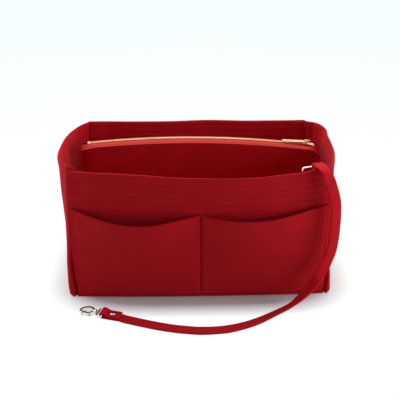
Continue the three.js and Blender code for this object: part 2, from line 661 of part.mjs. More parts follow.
// Pull: its crossbar turns under the slider's bridge, and its tab lies along the teeth
function pullTab() {
  const half = PULL_WIDTH / 2;
  const tab = new THREE.Shape();
  const round = PULL_CORNER;
  tab.moveTo(0, -half);
  tab.lineTo(0, half);
  tab.lineTo(-PULL_LENGTH + round, half);
  tab.quadraticCurveTo(-PULL_LENGTH, half, -PULL_LENGTH, half - round);
  tab.lineTo(-PULL_LENGTH, round - half);
  tab.quadraticCurveTo(-PULL_LENGTH, -half, -PULL_LENGTH + round, -half);
  const hole = (fromX, toX, width) => {
    const path = new THREE.Path();
    path.moveTo(fromX, -width / 2);
    path.lineTo(toX, -width / 2);
    path.lineTo(toX, width / 2);
    path.lineTo(fromX, width / 2);
    return path;
  };
  const eyeEnd = -PULL_BAR_RADIUS;
  tab.holes.push(hole(eyeEnd - PULL_EYE_LENGTH, eyeEnd, PULL_EYE_WIDTH));
  const windowEnd = PULL_FRAME - PULL_LENGTH;
  tab.holes.push(hole(windowEnd, windowEnd + PULL_WINDOW_LENGTH, PULL_WINDOW_WIDTH));
  const options = { depth: PULL_THICKNESS, bevelEnabled: false, curveSegments: 3 };
  const plate = new THREE.ExtrudeGeometry(tab, options).translate(0, 0, -PULL_THICKNESS / 2);
  return joined(plate, bar("y", -half, half, PULL_BAR_RADIUS, 16));
}
const pullGroup = new THREE.Group();
pullGroup.position.z = PULL_AXIS_HEIGHT;
pullGroup.rotation.y = -PULL_TILT;
sliderGroup.add(pullGroup);
addPart("zip_pull", pullTab(), brassLight, pullGroup);

// Ring of round wire: a rounded rectangle in its own XY plane, centred on its first long bar
function wireRing(innerWidth, length, wireRadius, corner, segments, sides) {
  const halfWidth = innerWidth / 2 + wireRadius;
  const middle = [];
  const corners = [
    [length - corner, halfWidth - corner, 0],
    [corner, halfWidth - corner, 1],
    [corner, corner - halfWidth, 2],
    [length - corner, corner - halfWidth, 3],
  ];
  for (const [x, y, quarter] of corners)
    for (let k = 0; k <= segments; k++) {
      const angle = ((quarter + k / segments) * Math.PI) / 2;
      const outward = new THREE.Vector3(Math.cos(angle), Math.sin(angle), 0);
      const at = new THREE.Vector3(x, y, 0).addScaledVector(outward, corner);
      middle.push({ at, outward });
    }
  const rings = middle.map(({ at, outward }) =>
    [...Array(sides)].map((_, k) => {
      const turn = (2 * Math.PI * k) / sides;
      const point = at.clone().addScaledVector(outward, wireRadius * Math.cos(turn));
      point.z += wireRadius * Math.sin(turn);
      return point;
    }),
  );
  return ringSolid(rings, true);
}

// A geometry whose points were moved, made closed again
function closedAgain(geometry) {
  return toGeometry(toSolid(geometry));
}
// Folded strip round a bar: its outline in a plane, from the bar's middle, pushed out to a width
function foldedStrip(outer, inner, width) {
  const shape = new THREE.Shape([...outer, ...inner.reverse()].map((p) => new THREE.Vector2(...p)));
  const options = { depth: width, bevelEnabled: false };
  return new THREE.ExtrudeGeometry(shape, options).translate(0, 0, -width / 2);
}
// Points of a half turn round the origin, at a radius, from one angle to another in degrees
function turnPoints(radius, fromDegrees, toDegrees, count) {
  return [...Array(count + 1)].map((_, k) => {
    const angle = THREE.MathUtils.degToRad(mix(fromDegrees, toDegrees, k / count));
    return [radius * Math.cos(angle), radius * Math.sin(angle)];
  });
}

// Leash ring on its tab, turned with the front wall at that place
const FACING_INSET = FELT + GAP + FACING_THICKNESS + GAP;
const TAB_OUTER = RING_WIRE_RADIUS + GAP + TAB_THICKNESS;
const RING_X = RIM_LENGTH_FRONT / 2 - RING_FROM_CORNER;
const RING_Z = HEIGHT - RING_BELOW_RIM;
function wallSlope(x, z) {
  const reach = TAB_WIDTH / 2;
  const rise = wallFace(FRONT, x + reach, z, 0) - wallFace(FRONT, x - reach, z, 0);
  return Math.atan2(rise, 2 * reach);
}
const ringGroup = new THREE.Group();
ringGroup.position.set(RING_X, wallFace(FRONT, RING_X, RING_Z, FACING_INSET + TAB_OUTER), RING_Z);
ringGroup.rotation.z = wallSlope(RING_X, RING_Z);
organizer.add(ringGroup);
// The tab is a folded strip whose two ends lie on the facing under the ring's lower bar
function ringTab() {
  const inner = RING_WIRE_RADIUS + GAP;
  const innerLayer = 2 * TAB_THICKNESS + GAP - TAB_OUTER;
  const outerSide = [
    [-TAB_OUTER, -TAB_DROP],
    ...turnPoints(TAB_OUTER, 180, 0, 8),
    [innerLayer, -TAB_CLOSE_DROP],
    [innerLayer, -TAB_DROP],
  ];
  const innerSide = [
    [TAB_THICKNESS - TAB_OUTER, -TAB_DROP],
    ...turnPoints(inner, 180, 0, 8),
    [innerLayer - TAB_THICKNESS, -TAB_CLOSE_DROP],
    [innerLayer - TAB_THICKNESS, -TAB_DROP],
  ];
  const geometry = foldedStrip(outerSide, innerSide, TAB_WIDTH);
  const place = geometry.attributes.position;
  for (let i = 0; i < place.count; i++) {
    const x = RING_X + TAB_OFFSET + place.getZ(i);
    const z = RING_Z + place.getY(i);
    place.setXYZ(i, x, wallFace(FRONT, x, z, FACING_INSET + TAB_OUTER + place.getX(i)), z);
  }
  return closedAgain(geometry);
}
addPart("ring_tab", ringTab(), feltRed);
const ringPivot = new THREE.Group();
ringPivot.rotation.x = -RING_LEAN;
ringGroup.add(ringPivot);
const ringShape = wireRing(RING_INNER_WIDTH, RING_HEIGHT, RING_WIRE_RADIUS, RING_CORNER, 4, 8)
  .rotateZ(Math.PI / 2)
  .rotateX(Math.PI / 2);
addPart("leash_ring", ringShape, nickel, ringPivot);

// Strap's fold round the ring's upper bar: its flap lies under the strap, inside the rim
function strapFold(wireRadius, flapLength, startX) {
  const inner = wireRadius + GAP;
  const outer = inner + STRAP_THICKNESS;
  const rest = GAP - inner;
  const flapInner = [
    [-FLAP_EASE, rest],
    [-flapLength, rest],
  ];
  const flapOuter = flapInner.map(([x, y]) => [x, y + STRAP_THICKNESS]);
  const keep = flapLength > FLAP_EASE ? [0, 1] : [1];
  const inside = [
    [-startX, -inner],
    ...turnPoints(inner, -90, 90, 10),
    ...keep.map((k) => flapInner[k]),
  ];
  const outside = [
    [-startX, -outer],
    ...turnPoints(outer, -90, 90, 10),
    ...keep.map((k) => flapOuter[k]),
  ];
  return foldedStrip(outside, inside, STRAP_WIDTH).rotateX(Math.PI / 2);
}
const foldGroup = new THREE.Group();
foldGroup.position
  .set(0, Math.sin(RING_LEAN), Math.cos(RING_LEAN))
  .multiplyScalar(RING_HEIGHT)
  .add(new THREE.Vector3(FOLD_OFFSET, 0, 0));
foldGroup.rotation.set(Math.PI, 0, Math.PI / 2, "ZYX");
ringGroup.add(foldGroup);
const ringFold = strapFold(RING_WIRE_RADIUS, RING_FLAP_LENGTH, FLAP_START);
addPart("leash_ring_end_fold", ringFold, feltRed, foldGroup);

// Frame of the clasp's eye bar, lying over the strap's end in the fold of its flap
const claspEnd = new THREE.Group();
claspEnd.position.set(
  (CLASP_ALONG * RIM_LENGTH_FRONT) / 2,
  -RIM_DEPTH / 2 - CLASP_OUT,
  CLASP_LIFT + STRAP_THICKNESS + GAP + EYE_WIRE_RADIUS,
);
claspEnd.rotation.z = CLASP_HEADING;
organizer.add(claspEnd);
organizer.updateMatrixWorld(true);

// Strap swept along its route, with its width in the direction given there
function strapEnd(group, wireRadius, distance) {
  const level = -(wireRadius + GAP + STRAP_THICKNESS / 2);
  const origin = group.localToWorld(new THREE.Vector3(0, 0, 0));
  return {
    at: group.localToWorld(new THREE.Vector3(-distance, 0, level)),
    across: group.localToWorld(new THREE.Vector3(0, 1, 0)).sub(origin),
  };
}
function strapStations() {
  const route = STRAP_ROUTE.map(({ along, out, up, lift, across }) => {
    const height = up === undefined ? STRAP_THICKNESS / 2 + lift : up * HEIGHT;
    const at = new THREE.Vector3(
      (along * RIM_LENGTH_FRONT) / 2,
      -RIM_DEPTH / 2 - out,
      height,
    );
    return { at, across: new THREE.Vector3(...across) };
  });
  return [
    strapEnd(foldGroup, RING_WIRE_RADIUS, STRAP_START),
    strapEnd(foldGroup, RING_WIRE_RADIUS, RING_STRAIGHT),
    ...route,
    strapEnd(claspEnd, EYE_WIRE_RADIUS, STRAP_START + CLASP_FLAP_LENGTH),
    strapEnd(claspEnd, EYE_WIRE_RADIUS, STRAP_STRAIGHT),
    strapEnd(claspEnd, EYE_WIRE_RADIUS, STRAP_START),
  ];
}
function strapBody() {
  const stations = strapStations();
  const middle = new THREE.CatmullRomCurve3(
    stations.map(({ at }) => at),
    false,
    "centripetal",
  );
  const rings = [];
  for (let i = 0; i <= STRAP_STEPS; i++) {
    const share = middle.getUtoTmapping(i / STRAP_STEPS);
    const at = middle.getPoint(share);
    const tangent = middle.getTangent(share);
    const place = share * (stations.length - 1);
    const before = Math.min(stations.length - 2, Math.floor(place));
    const across = stations[before].across.clone();
    across.lerp(stations[before + 1].across, place - before);
    across.addScaledVector(tangent, -across.dot(tangent)).normalize();
    const up = tangent.clone().cross(across);
    rings.push(
      STRAP_SECTION.map(([a, b]) =>
        at
          .clone()
          .addScaledVector(across, a * STRAP_WIDTH)
          .addScaledVector(up, b * STRAP_THICKNESS),
      ),
    );
  }
  return ringSolid(rings, false);
}

const holeReach = 4 * STRAP_THICKNESS;
const rivetBar = bar("z", -holeReach, holeReach, RIVET_POST_RADIUS + GAP);
const rivetHole = rivetBar.translate(-RIVET_DISTANCE, 0, 0);
const claspFold = strapFold(EYE_WIRE_RADIUS, CLASP_FLAP_LENGTH, FLAP_START);
addPart("leash_clasp_end_fold", cut(claspFold, rivetHole), feltRed, claspEnd);
const holeInStrap = rivetHole.clone().applyMatrix4(claspEnd.matrixWorld);
addPart("leash_strap", cut(strapBody(), holeInStrap), feltRed);

function rivet() {
  const strapTop = -(EYE_WIRE_RADIUS + GAP);
  const flapTop = strapTop + GAP + STRAP_THICKNESS;
  const strapUnder = strapTop - STRAP_THICKNESS;
  const headLow = flapTop + GAP;
  const backHigh = strapUnder - GAP;
  const profile = [
    [0, backHigh - RIVET_BACK_HEIGHT],
    [RIVET_BACK_RADIUS, backHigh - RIVET_BACK_HEIGHT],
    [RIVET_BACK_RADIUS, backHigh],
    [RIVET_POST_RADIUS, backHigh],
    [RIVET_POST_RADIUS, headLow],
    [RIVET_HEAD_RADIUS, headLow],
    [RIVET_HEAD_RADIUS, headLow + RIVET_RIM_HEIGHT],
    [RIVET_DOME_RADIUS, headLow + RIVET_DOME_HEIGHT],
    [0, headLow + RIVET_HEAD_HEIGHT],
  ];
  return new THREE.LatheGeometry(
    profile.map((p) => new THREE.Vector2(...p)),
    20,
  )
    .rotateX(Math.PI / 2)
    .translate(-RIVET_DISTANCE, 0, 0);
}
addPart("leash_rivet", toGeometry(toSolid(rivet())), nickel, claspEnd);

// Clasp: eye with a stud, hook body that swivels on the stud, and a sprung gate
const claspGroup = new THREE.Group();
claspGroup.rotation.y = CLASP_TILT;
claspEnd.add(claspGroup);
const BOSS_START = EYE_LENGTH - EYE_OVERLAP;
const BOSS_END = BOSS_START + BOSS_LENGTH;
const COLLAR_START = BOSS_END + GAP;
const COLLAR_END = COLLAR_START + COLLAR_LENGTH;
const HEAD_START = COLLAR_END + GAP;
function claspEye() {
  const loop = wireRing(EYE_INNER_WIDTH, EYE_LENGTH, EYE_WIRE_RADIUS, EYE_CORNER, 4, 8);
  return joined(
    loop,
    bar("x", BOSS_START, BOSS_END, BOSS_RADIUS),
    bar("x", BOSS_START, HEAD_START + STUD_HEAD_LENGTH / 2, STUD_RADIUS),
    bar("x", HEAD_START, HEAD_START + STUD_HEAD_LENGTH, STUD_HEAD_RADIUS),
  );
}
addPart("clasp_eye", claspEye(), nickel, claspGroup);

const HOOK_START = COLLAR_END - HOOK_OVERLAP;
const HOOK_X = HOOK_START + HOOK_HALF_LENGTH;
const HOOK_INNER_LENGTH = HOOK_HALF_LENGTH - HOOK_WALL;
const HOOK_INNER_WIDTH = HOOK_HALF_WIDTH - HOOK_WALL;
const GATE_PIN_X = HOOK_X - GATE_PIN_BACK;
const wallMiddle = (HOOK_INNER_WIDTH + HOOK_HALF_WIDTH) / 2;
const pinShare = GATE_PIN_BACK / (HOOK_HALF_LENGTH - HOOK_WALL / 2);
const GATE_PIN_Y = wallMiddle * Math.sqrt(1 - pinShare ** 2);
const cheekHalf = HOOK_THICKNESS / 2;
const gateSlotHalf = GATE_THICKNESS / 2 + GAP;
const coilSlotHalf = SPRING_PITCH / 2 + SPRING_WIRE_RADIUS + SPRING_ROOM;
const atPin = (geometry, turn = 0) =>
  geometry.rotateZ(GATE_ANGLE + turn).translate(GATE_PIN_X, GATE_PIN_Y, 0);
function hookBody() {
  const outline = new THREE.Shape();
  outline.absellipse(HOOK_X, 0, HOOK_HALF_LENGTH, HOOK_HALF_WIDTH, 0, 2 * Math.PI);
  const mouth = new THREE.Path();
  mouth.absellipse(HOOK_X, 0, HOOK_INNER_LENGTH, HOOK_INNER_WIDTH, 0, 2 * Math.PI);
  outline.holes.push(mouth);
  const options = { depth: HOOK_THICKNESS, bevelEnabled: false, curveSegments: 14 };
  const loop = new THREE.ExtrudeGeometry(outline, options).translate(0, 0, -cheekHalf);
  const collar = bar("x", COLLAR_START, COLLAR_END, COLLAR_RADIUS);
  const headEnd = HEAD_START + STUD_HEAD_LENGTH + GAP;
  const bore = bar("x", COLLAR_START - CUT_SPARE, headEnd, STUD_RADIUS + GAP);
  const headRoom = bar("x", COLLAR_END, headEnd + GAP, STUD_HEAD_RADIUS + GAP);
  const entry = block(
    [HOOK_X - ENTRY_BACK, 0, -cheekHalf - CUT_SPARE],
    [HOOK_X + ENTRY_AHEAD, HOOK_HALF_WIDTH + CUT_SPARE, cheekHalf + CUT_SPARE],
  );
  const slotLow = [0, -GATE_WIDTH / 2 - GAP, -gateSlotHalf];
  const slotHigh = [GATE_REACH / 2, GATE_WIDTH / 2 + GAP, gateSlotHalf];
  const heelRoom = bar("z", -gateSlotHalf, gateSlotHalf, GATE_WIDTH / 2 + GAP, 24);
  const legRoom = block(
    [-SPRING_LEG_BACK - GAP, -SPRING_LEG_DROP - SPRING_WIRE_RADIUS, -coilSlotHalf],
    [0, 0, coilSlotHalf],
  );
  const pinReach = cheekHalf + CUT_SPARE;
  const pinHole = bar("z", -pinReach, pinReach, GATE_PIN_RADIUS + GAP / 2, 16);
  return cut(
    joined(loop, collar),
    bore,
    headRoom,
    entry,
    atPin(heelRoom),
    atPin(block(slotLow, slotHigh)),
    atPin(block(slotLow, slotHigh), -GATE_TRAVEL),
    atPin(legRoom),
    atPin(pinHole),
  );
}
addPart("clasp_hook", hookBody(), nickel, claspGroup);

// Gate: turns inwards on its pin and closes the hook's side; its heel is forked for the spring
function gate() {
  const shape = new THREE.Shape();
  const half = GATE_WIDTH / 2;
  const tabTop = half + GATE_TAB_HEIGHT;
  shape.moveTo(GATE_REACH, -half * GATE_TIP_SHARE);
  shape.lineTo(GATE_REACH, half * GATE_TIP_SHARE);
  shape.lineTo(GATE_TAB_START + 2 * GATE_TAB_LENGTH, half * GATE_SHOULDER_SHARE);
  shape.lineTo(GATE_TAB_START + GATE_TAB_LENGTH, tabTop);
  shape.lineTo(GATE_TAB_START, tabTop);
  shape.lineTo(GATE_TAB_START - GATE_TAB_LENGTH / 2, half);
  shape.lineTo(0, half);
  shape.absarc(0, 0, half, Math.PI / 2, (3 * Math.PI) / 2, false);
  const options = { depth: GATE_THICKNESS, bevelEnabled: false, curveSegments: 6 };
  const lever = new THREE.ExtrudeGeometry(shape, options).translate(0, 0, -GATE_THICKNESS / 2);
  const hole = bar("z", -GATE_THICKNESS, GATE_THICKNESS, GATE_PIN_RADIUS + GAP / 2, 16);
  const past = half + CUT_SPARE;
  const coilRoom = block([-past, -past, -coilSlotHalf], [COIL_ROOM, past, coilSlotHalf]);
  const legGroove = block(
    [0, -past, -coilSlotHalf],
    [SPRING_LEG_AHEAD + GAP, SPRING_WIRE_RADIUS + GAP - SPRING_COIL_RADIUS, coilSlotHalf],
  );
  return cut(lever, hole, coilRoom, legGroove);
}
const gateGroup = new THREE.Group();
gateGroup.position.set(GATE_PIN_X, GATE_PIN_Y, 0);
gateGroup.rotation.z = GATE_ANGLE;
claspGroup.add(gateGroup);
addPart("clasp_gate", gate(), nickel, gateGroup);
const gatePin = bar("z", -cheekHalf, cheekHalf, GATE_PIN_RADIUS, 16);
addPart("clasp_gate_pin", gatePin, nickel, gateGroup);

// Spring: a coil round the pin, with one leg under the gate and one against the hook
function gateSpring() {
  const route = [new THREE.Vector3(SPRING_LEG_AHEAD, -SPRING_COIL_RADIUS, -SPRING_PITCH / 2)];
  for (let k = 0; k <= SPRING_STEPS; k++) {
    const share = k / SPRING_STEPS;
    const angle = (3 / 2) * Math.PI - share * SPRING_SWEEP;
    const z = SPRING_PITCH * (share - 0.5);
    route.push(
      new THREE.Vector3(
        SPRING_COIL_RADIUS * Math.cos(angle),
        SPRING_COIL_RADIUS * Math.sin(angle),
        z,
      ),
    );
  }
  route.push(new THREE.Vector3(-SPRING_LEG_BACK, -SPRING_LEG_DROP, SPRING_PITCH / 2));
  const rings = route.map((at, i) => {
    const before = route[Math.max(0, i - 1)];
    const after = route[Math.min(route.length - 1, i + 1)];
    const along = after.clone().sub(before).normalize();
    const side = new THREE.Vector3(0, 0, 1).cross(along).normalize();
    const up = along.clone().cross(side);
    return turnPoints(SPRING_WIRE_RADIUS, 0, 300, 5).map(([a, b]) =>
      at.clone().addScaledVector(side, a).addScaledVector(up, b),
    );
  });
  return ringSolid(rings, false);
}
addPart("clasp_gate_spring", gateSpring(), nickel, gateGroup);

export default organizer;
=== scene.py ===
"""Felt purse organizer insert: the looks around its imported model, laid out as an add-on.

Lengths are in metres. X runs to the right, Y to the back and Z up, and the origin is at the
centre of the base, on the surface that the box stands on.
"""
import math

import bpy
from bpy.props import FloatProperty, FloatVectorProperty, IntProperty, PointerProperty
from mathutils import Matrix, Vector


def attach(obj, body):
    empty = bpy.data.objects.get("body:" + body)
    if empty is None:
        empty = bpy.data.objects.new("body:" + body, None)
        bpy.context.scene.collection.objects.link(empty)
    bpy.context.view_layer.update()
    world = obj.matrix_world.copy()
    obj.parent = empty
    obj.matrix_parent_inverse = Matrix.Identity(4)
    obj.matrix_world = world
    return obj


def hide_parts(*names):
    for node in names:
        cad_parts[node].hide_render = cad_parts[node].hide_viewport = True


bl_info = {
    "name": "Felt purse organizer",
    "version": (1, 0, 0),
    "blender": (4, 5, 0),
    "location": "3D View > Sidebar > Organizer",
    "description": "Builds a felt purse organizer with pockets, a zipped pouch and a leash",
    "category": "Add Mesh",
}

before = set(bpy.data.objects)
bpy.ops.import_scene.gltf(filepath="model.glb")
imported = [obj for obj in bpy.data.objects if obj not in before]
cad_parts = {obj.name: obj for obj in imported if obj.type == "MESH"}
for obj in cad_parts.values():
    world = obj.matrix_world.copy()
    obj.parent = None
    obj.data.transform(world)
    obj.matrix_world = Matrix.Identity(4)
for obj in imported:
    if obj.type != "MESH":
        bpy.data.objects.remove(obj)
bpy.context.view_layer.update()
MM = 0.001


# Sizes that the part's source also uses, in millimetres. A side is -1 on the left or in front,
# and 1 on the right or behind.
HEIGHT = 150
RIM_LENGTH_FRONT, RIM_LENGTH_BACK, BASE_LENGTH = 278, 268, 274
RIM_DEPTH, BASE_DEPTH = 156, 150
RIM_DIP = 2
WALL_BOW_POWER, END_BOW_POWER = 2.4, 3
END_BOW_BASE, END_BOW_RIM = 2, {-1: 16, 1: 12}
FELT, GAP = 3.2, 0.3
SEAM_LIP, CORNER_RADIUS = 8, 5
FACING_HEIGHT, FACING_THICKNESS = 34, 2
FACING_INSET = FELT + GAP + FACING_THICKNESS
LINING_LOW, LINING_THICKNESS, FLOOR_TOP = 5.4, 2, 7.4
POCKET_FELT, POCKET_HEIGHT, POCKET_SIDE_MARGIN = 2.6, 107, 3
POUCH_Y, POUCH_WIDTH, POUCH_FELT, POUCH_HALF_LENGTH = 20, 25, 2.5, 137.6
POUCH_END_POWER, POUCH_FLARE_POWER = 28, 0.8
ZIP_ARC_X, ZIP_ARC_TOP, ZIP_ARC_RADIUS = -18, 148.2, 1100
TAPE_THICKNESS, TAPE_EDGE, TAPE_HALF = 0.6, 3.5, 135.8
TEETH_START, TEETH_END, TEETH_PITCH = -125.6, 122.7, 3
STRAP_WIDTH, STRAP_THICKNESS = 12, 2.4
RING_WIRE, EYE_WIRE = 1.2, 1.1

# Soft shapes and small details that only this file has, in millimetres. A hill is its height,
# its centre, its width and, where it isn't 2, its power.
FOOT_SWELL, FOOT_SWELL_HEIGHT = 8, 80
RIGHT_RIM_SHORT = 1.2  # the front wall ends this much earlier at the top of its right side
SIDE_SEAM = 5.6  # from a wall's end to its side seam
END_SETTLE = {  # along the depth of the rim, as a share
    -1: ((-0.6, 0.7, 0.12),),
    1: ((6.3, 0.84, 0.15, 3), (1.6, 0.64, 0.12), (0.8, 0.5, 0.12), (-2, 0.17, 0.13)),
}
END_FLARE = {-1: 1.2, 1: 2}
END_RIM = {  # height of the rim's edge, by Y
    -1: ((1.6, 68, 16), (1, -66, 9), (-0.6, -20, 30)),
    1: ((2.8, 54, 20), (-1.2, 76, 3)),
}
END_RIM_SET_BACK, END_FOOT_PILLOW = 3.6, 5
CORNER_FOLDS = ((1.7, 71.5, 1.5), (-1.6, 66.5, 1.8), (1.1, 61.5, 1.8))  # by Y
POCKET_FOOT_SEAM = 6.4
POCKETS = {-1: (15, 10, 1, 1.15), 1: (10, 6.6, 0.74, 1.3)}  # bulge, scoop, skew, power
POUCH_RIGHT_SPREAD = 5.9
POUCH_DROP = {-1: (112, 27, 6), 1: (126, 18.2, 14.5)}  # start, length and depth
TAPE_SLOPE = {-1: 1.8, 1: 3.4}
TOOTH_SIZE, TOOTH_ROUNDING, TOOTH_OFFSET = (1, 3.7, 2.4), 0.22, 1.05
TAPE_CORD_OFFSET, TAPE_CORD_WIDTH, TAPE_CORD_HEIGHT = 2.45, 0.8, 0.95
STRAP_ROUNDING, STRAP_STEPS = 0.8, 10
FOLD_START = 1.3  # a fold begins this far before the middle of its bar
STITCH_FILL, STITCH_BEND = 0.42, 0.12  # half a stitch as a share of its pitch, and its bend

# The photograph's camera, in metres, radians and pixels
CAMERA_PLACE, CAMERA_PITCH, CAMERA_YAW = (-0.01703, -0.73447, 0.42695), 0.44339, -0.0246
FOCAL_PIXELS, PICTURE_PIXELS, SENSOR_WIDTH = 690.4, 400, 36

# The studio, in metres and watts. Each soft box is its place, where it aims, size and power.
FLOOR_SIZE, FLOOR_SHIFT, FLOOR_FLAT, FLOOR_RISE = 6, 1.2, 1.0, 0.35
FADE_WIDTH, FADE_DEPTH, FADE_LENGTH, FADE_BEHIND = 0.14, 0.101, 0.25, 0.4
# The floor's tones near the box are greyer than its white further out, which deepens the box's
# shadow there: painted shade.
PAPER_SHADE_DARK, PAPER_SHADE_LIGHT, PAPER_FAR = (0.73, 0.735, 0.75), (0.75, 0.755, 0.77), (0.92, 0.99, 1)
BACKDROP_TONE, BACKDROP_LEVEL = (0.925, 0.975, 1, 1), 0.97
WORLD_TONE, WORLD_LIGHT, FLOOR_BOUNCE = (0.98, 0.99, 1, 1), 0.11, 0.6
SOFT_BOXES = {
    "top_light": ((-0.05, 0.8, 1.4), (0, 0, 0.05), (1.7, 1.2), 27),
    "right_light": ((1.25, -0.4, 0.38), (0, 0, 0.08), (1.2, 0.7), 11),
    "left_light": ((-1.2, -0.15, 0.4), (0, 0, 0.08), (0.8, 0.7), 5),
}

# The two long walls: how far they bow out at the rim and the base, the first row of quilting
# below the rim, and how far the end panels stand out at the corners, by height
FRONT = {
    "sign": -1,
    "rim": RIM_LENGTH_FRONT,
    "bow_rim": 20,
    "bow_base": 4,
    "first_row": 8.8,
    "belly": 2.8,
    "lean": ((3.6, 44, 44), (-3.8, -78, 34), (-1.8, 116, 12)),
    "dips": ((1.2, 0.77, 0.11), (0.8, -0.97, 0.06), (0.9, 0.28, 0.35)),
    "facing_margin": {-1: 9.5, 1: 9.5},
    "corner": {
        -1: ((0, 7.4), (4, 9.6), (12, 10), (34, 9), (57, 6.6), (78, 4.6), (106, 3.8), (150, 3.4)),
        1: ((0, 6), (4, 8.4), (17, 7.4), (31, 5.8), (60, 5), (106, 2.6), (150, -0.4)),
    },
}
BACK = {
    "sign": 1,
    "rim": RIM_LENGTH_BACK,
    "bow_rim": 7,
    "bow_base": 2,
    "first_row": 5.6,
    "belly": 2,
    "facing_margin": {-1: 2, 1: 3.5},
    "corner": {
        -1: ((0, 3), (20, 5), (80, 4), (150, 2.2)),
        1: ((0, 3), (20, 5), (80, 4), (150, -0.3)),
    },
}


def mix(a, b, share):
    return a + (b - a) * share


def limit(x):
    """x, kept between 0 and 1."""
    return min(1, max(0, x))


def crown(t, power):
    return 1 - min(1, abs(t)) ** power


def bump(x, centre, width, power=2):
    """A smooth hill of height 1, with a flatter top where the power is higher."""
    return math.exp(-(abs((x - centre) / width) ** power))


def hills(x, rows):
    """The sum of several hills at x."""
    return sum(height * bump(x, *hill) for height, *hill in rows)


def ease(x, start, end):
    """A smooth step from 0 at start to 1 at end."""
    share = limit((x - start) / (end - start))
    return share * share * (3 - 2 * share)


def profile(points, z):
    """Value at a height, from pairs of height and value, with soft changes between them."""
    for (low, first), (high, second) in zip(points, points[1:]):
        if z <= high:
            straight = limit((z - low) / (high - low))
            return mix(first, second, 0.5 * ease(z, low, high) + 0.5 * straight)
    return points[-1][1]


def half_length(wall, z):
    """Half the length of a wall at a height."""
    share = limit(z / HEIGHT)
    return mix(BASE_LENGTH, wall["rim"], share) / 2 + wall["belly"] * math.sin(math.pi * share)


def soft_offset(wall, x, z):
    """How far the felt has settled outwards from its even bow."""
    high = max(0, z / HEIGHT)
    if wall is FRONT:
        lean = hills(x, wall["lean"])
        ripple = 0.5 * math.sin(x / 17 + 0.6) + 0.3 * math.sin(x / 7.3 + z / 31)
        swell = FOOT_SWELL + 1.2 * (x / 137) ** 2
        foot = swell * max(0, 1 - z / FOOT_SWELL_HEIGHT) ** 2
        return lean * high**2.2 + ripple * high**3 + foot
    ripple = 0.8 * math.sin(x / 29 + 1.1) + 0.35 * math.sin(x / 11 + z / 23)
    return ripple * high**2


def wall_face(wall, x, z, inset):
    """Y of a wall at x and z, inset from its outer face towards the inside."""
    bow = mix(wall["bow_base"], wall["bow_rim"], z / HEIGHT)
    proud = bow * crown(x / half_length(wall, z), WALL_BOW_POWER)
    depth = mix(BASE_DEPTH, RIM_DEPTH, z / HEIGHT) / 2
    return wall["sign"] * (depth + proud + soft_offset(wall, x, z) - inset)


def rim_height(wall, t):
    """Height of the soft rim along the wall, with t from -1 to 1."""
    dip = RIM_DIP * crown(t, 2)
    if wall is FRONT:
        return HEIGHT - (dip + hills(t, wall["dips"])) + 0.3 * math.sin(t * 9)
    return HEIGHT - dip + 0.4 * math.sin(t * 7 + 1)


def corner_drop(distance, radius):
    """How far a rounded corner lies below its straight edge, at a distance from its side."""
    short = max(0, radius - distance)
    return radius - math.sqrt(radius * radius - short * short)


def on_arc(x, y, height):
    """A point at a height above the zip's arc, at a length x along it."""
    angle = (x - ZIP_ARC_X) / ZIP_ARC_RADIUS
    radius = ZIP_ARC_RADIUS + height
    z = ZIP_ARC_TOP - ZIP_ARC_RADIUS + radius * math.cos(angle)
    return (ZIP_ARC_X + radius * math.sin(angle), y, z)


class OrganizerShape(bpy.types.PropertyGroup):
    """Sizes that can be changed."""

    quilt_rows: IntProperty(
        name="Quilting rows", description="Rows of stitching below the rim", default=4, min=1
    )
    quilt_pitch: FloatProperty(
        name="Quilting pitch",
        description="Distance between two rows of stitching",
        default=0.008,
        unit="LENGTH",
    )
    stitch_length: FloatProperty(
        name="Stitch length",
        description="Length of one stitch of the sewing thread",
        default=0.0030,
        unit="LENGTH",
    )
    felt_rounding: FloatProperty(
        name="Felt edge rounding",
        description="Radius of the cut edges of the felt",
        default=0.0011,
        unit="LENGTH",
    )
    thread_thickness: FloatProperty(
        name="Thread thickness",
        description="Width of the sewing thread",
        default=0.00055,
        unit="LENGTH",
    )


class OrganizerColours(bpy.types.PropertyGroup):
    """Colours that can be changed."""

    felt: FloatVectorProperty(
        name="Felt", description="Dyed felt", subtype="COLOR", default=(0.52, 0.006, 0.014)
    )
    tape: FloatVectorProperty(
        name="Zip tape", description="Woven tape", subtype="COLOR", default=(0.62, 0.022, 0.014)
    )
    zip_metal: FloatVectorProperty(
        name="Zip metal",
        description="Light gold plating",
        subtype="COLOR",
        default=(0.93, 0.68, 0.37),
    )
    nickel: FloatVectorProperty(
        name="Nickel", description="Nickel plating", subtype="COLOR", default=(0.72, 0.71, 0.69)
    )


# Shader maths


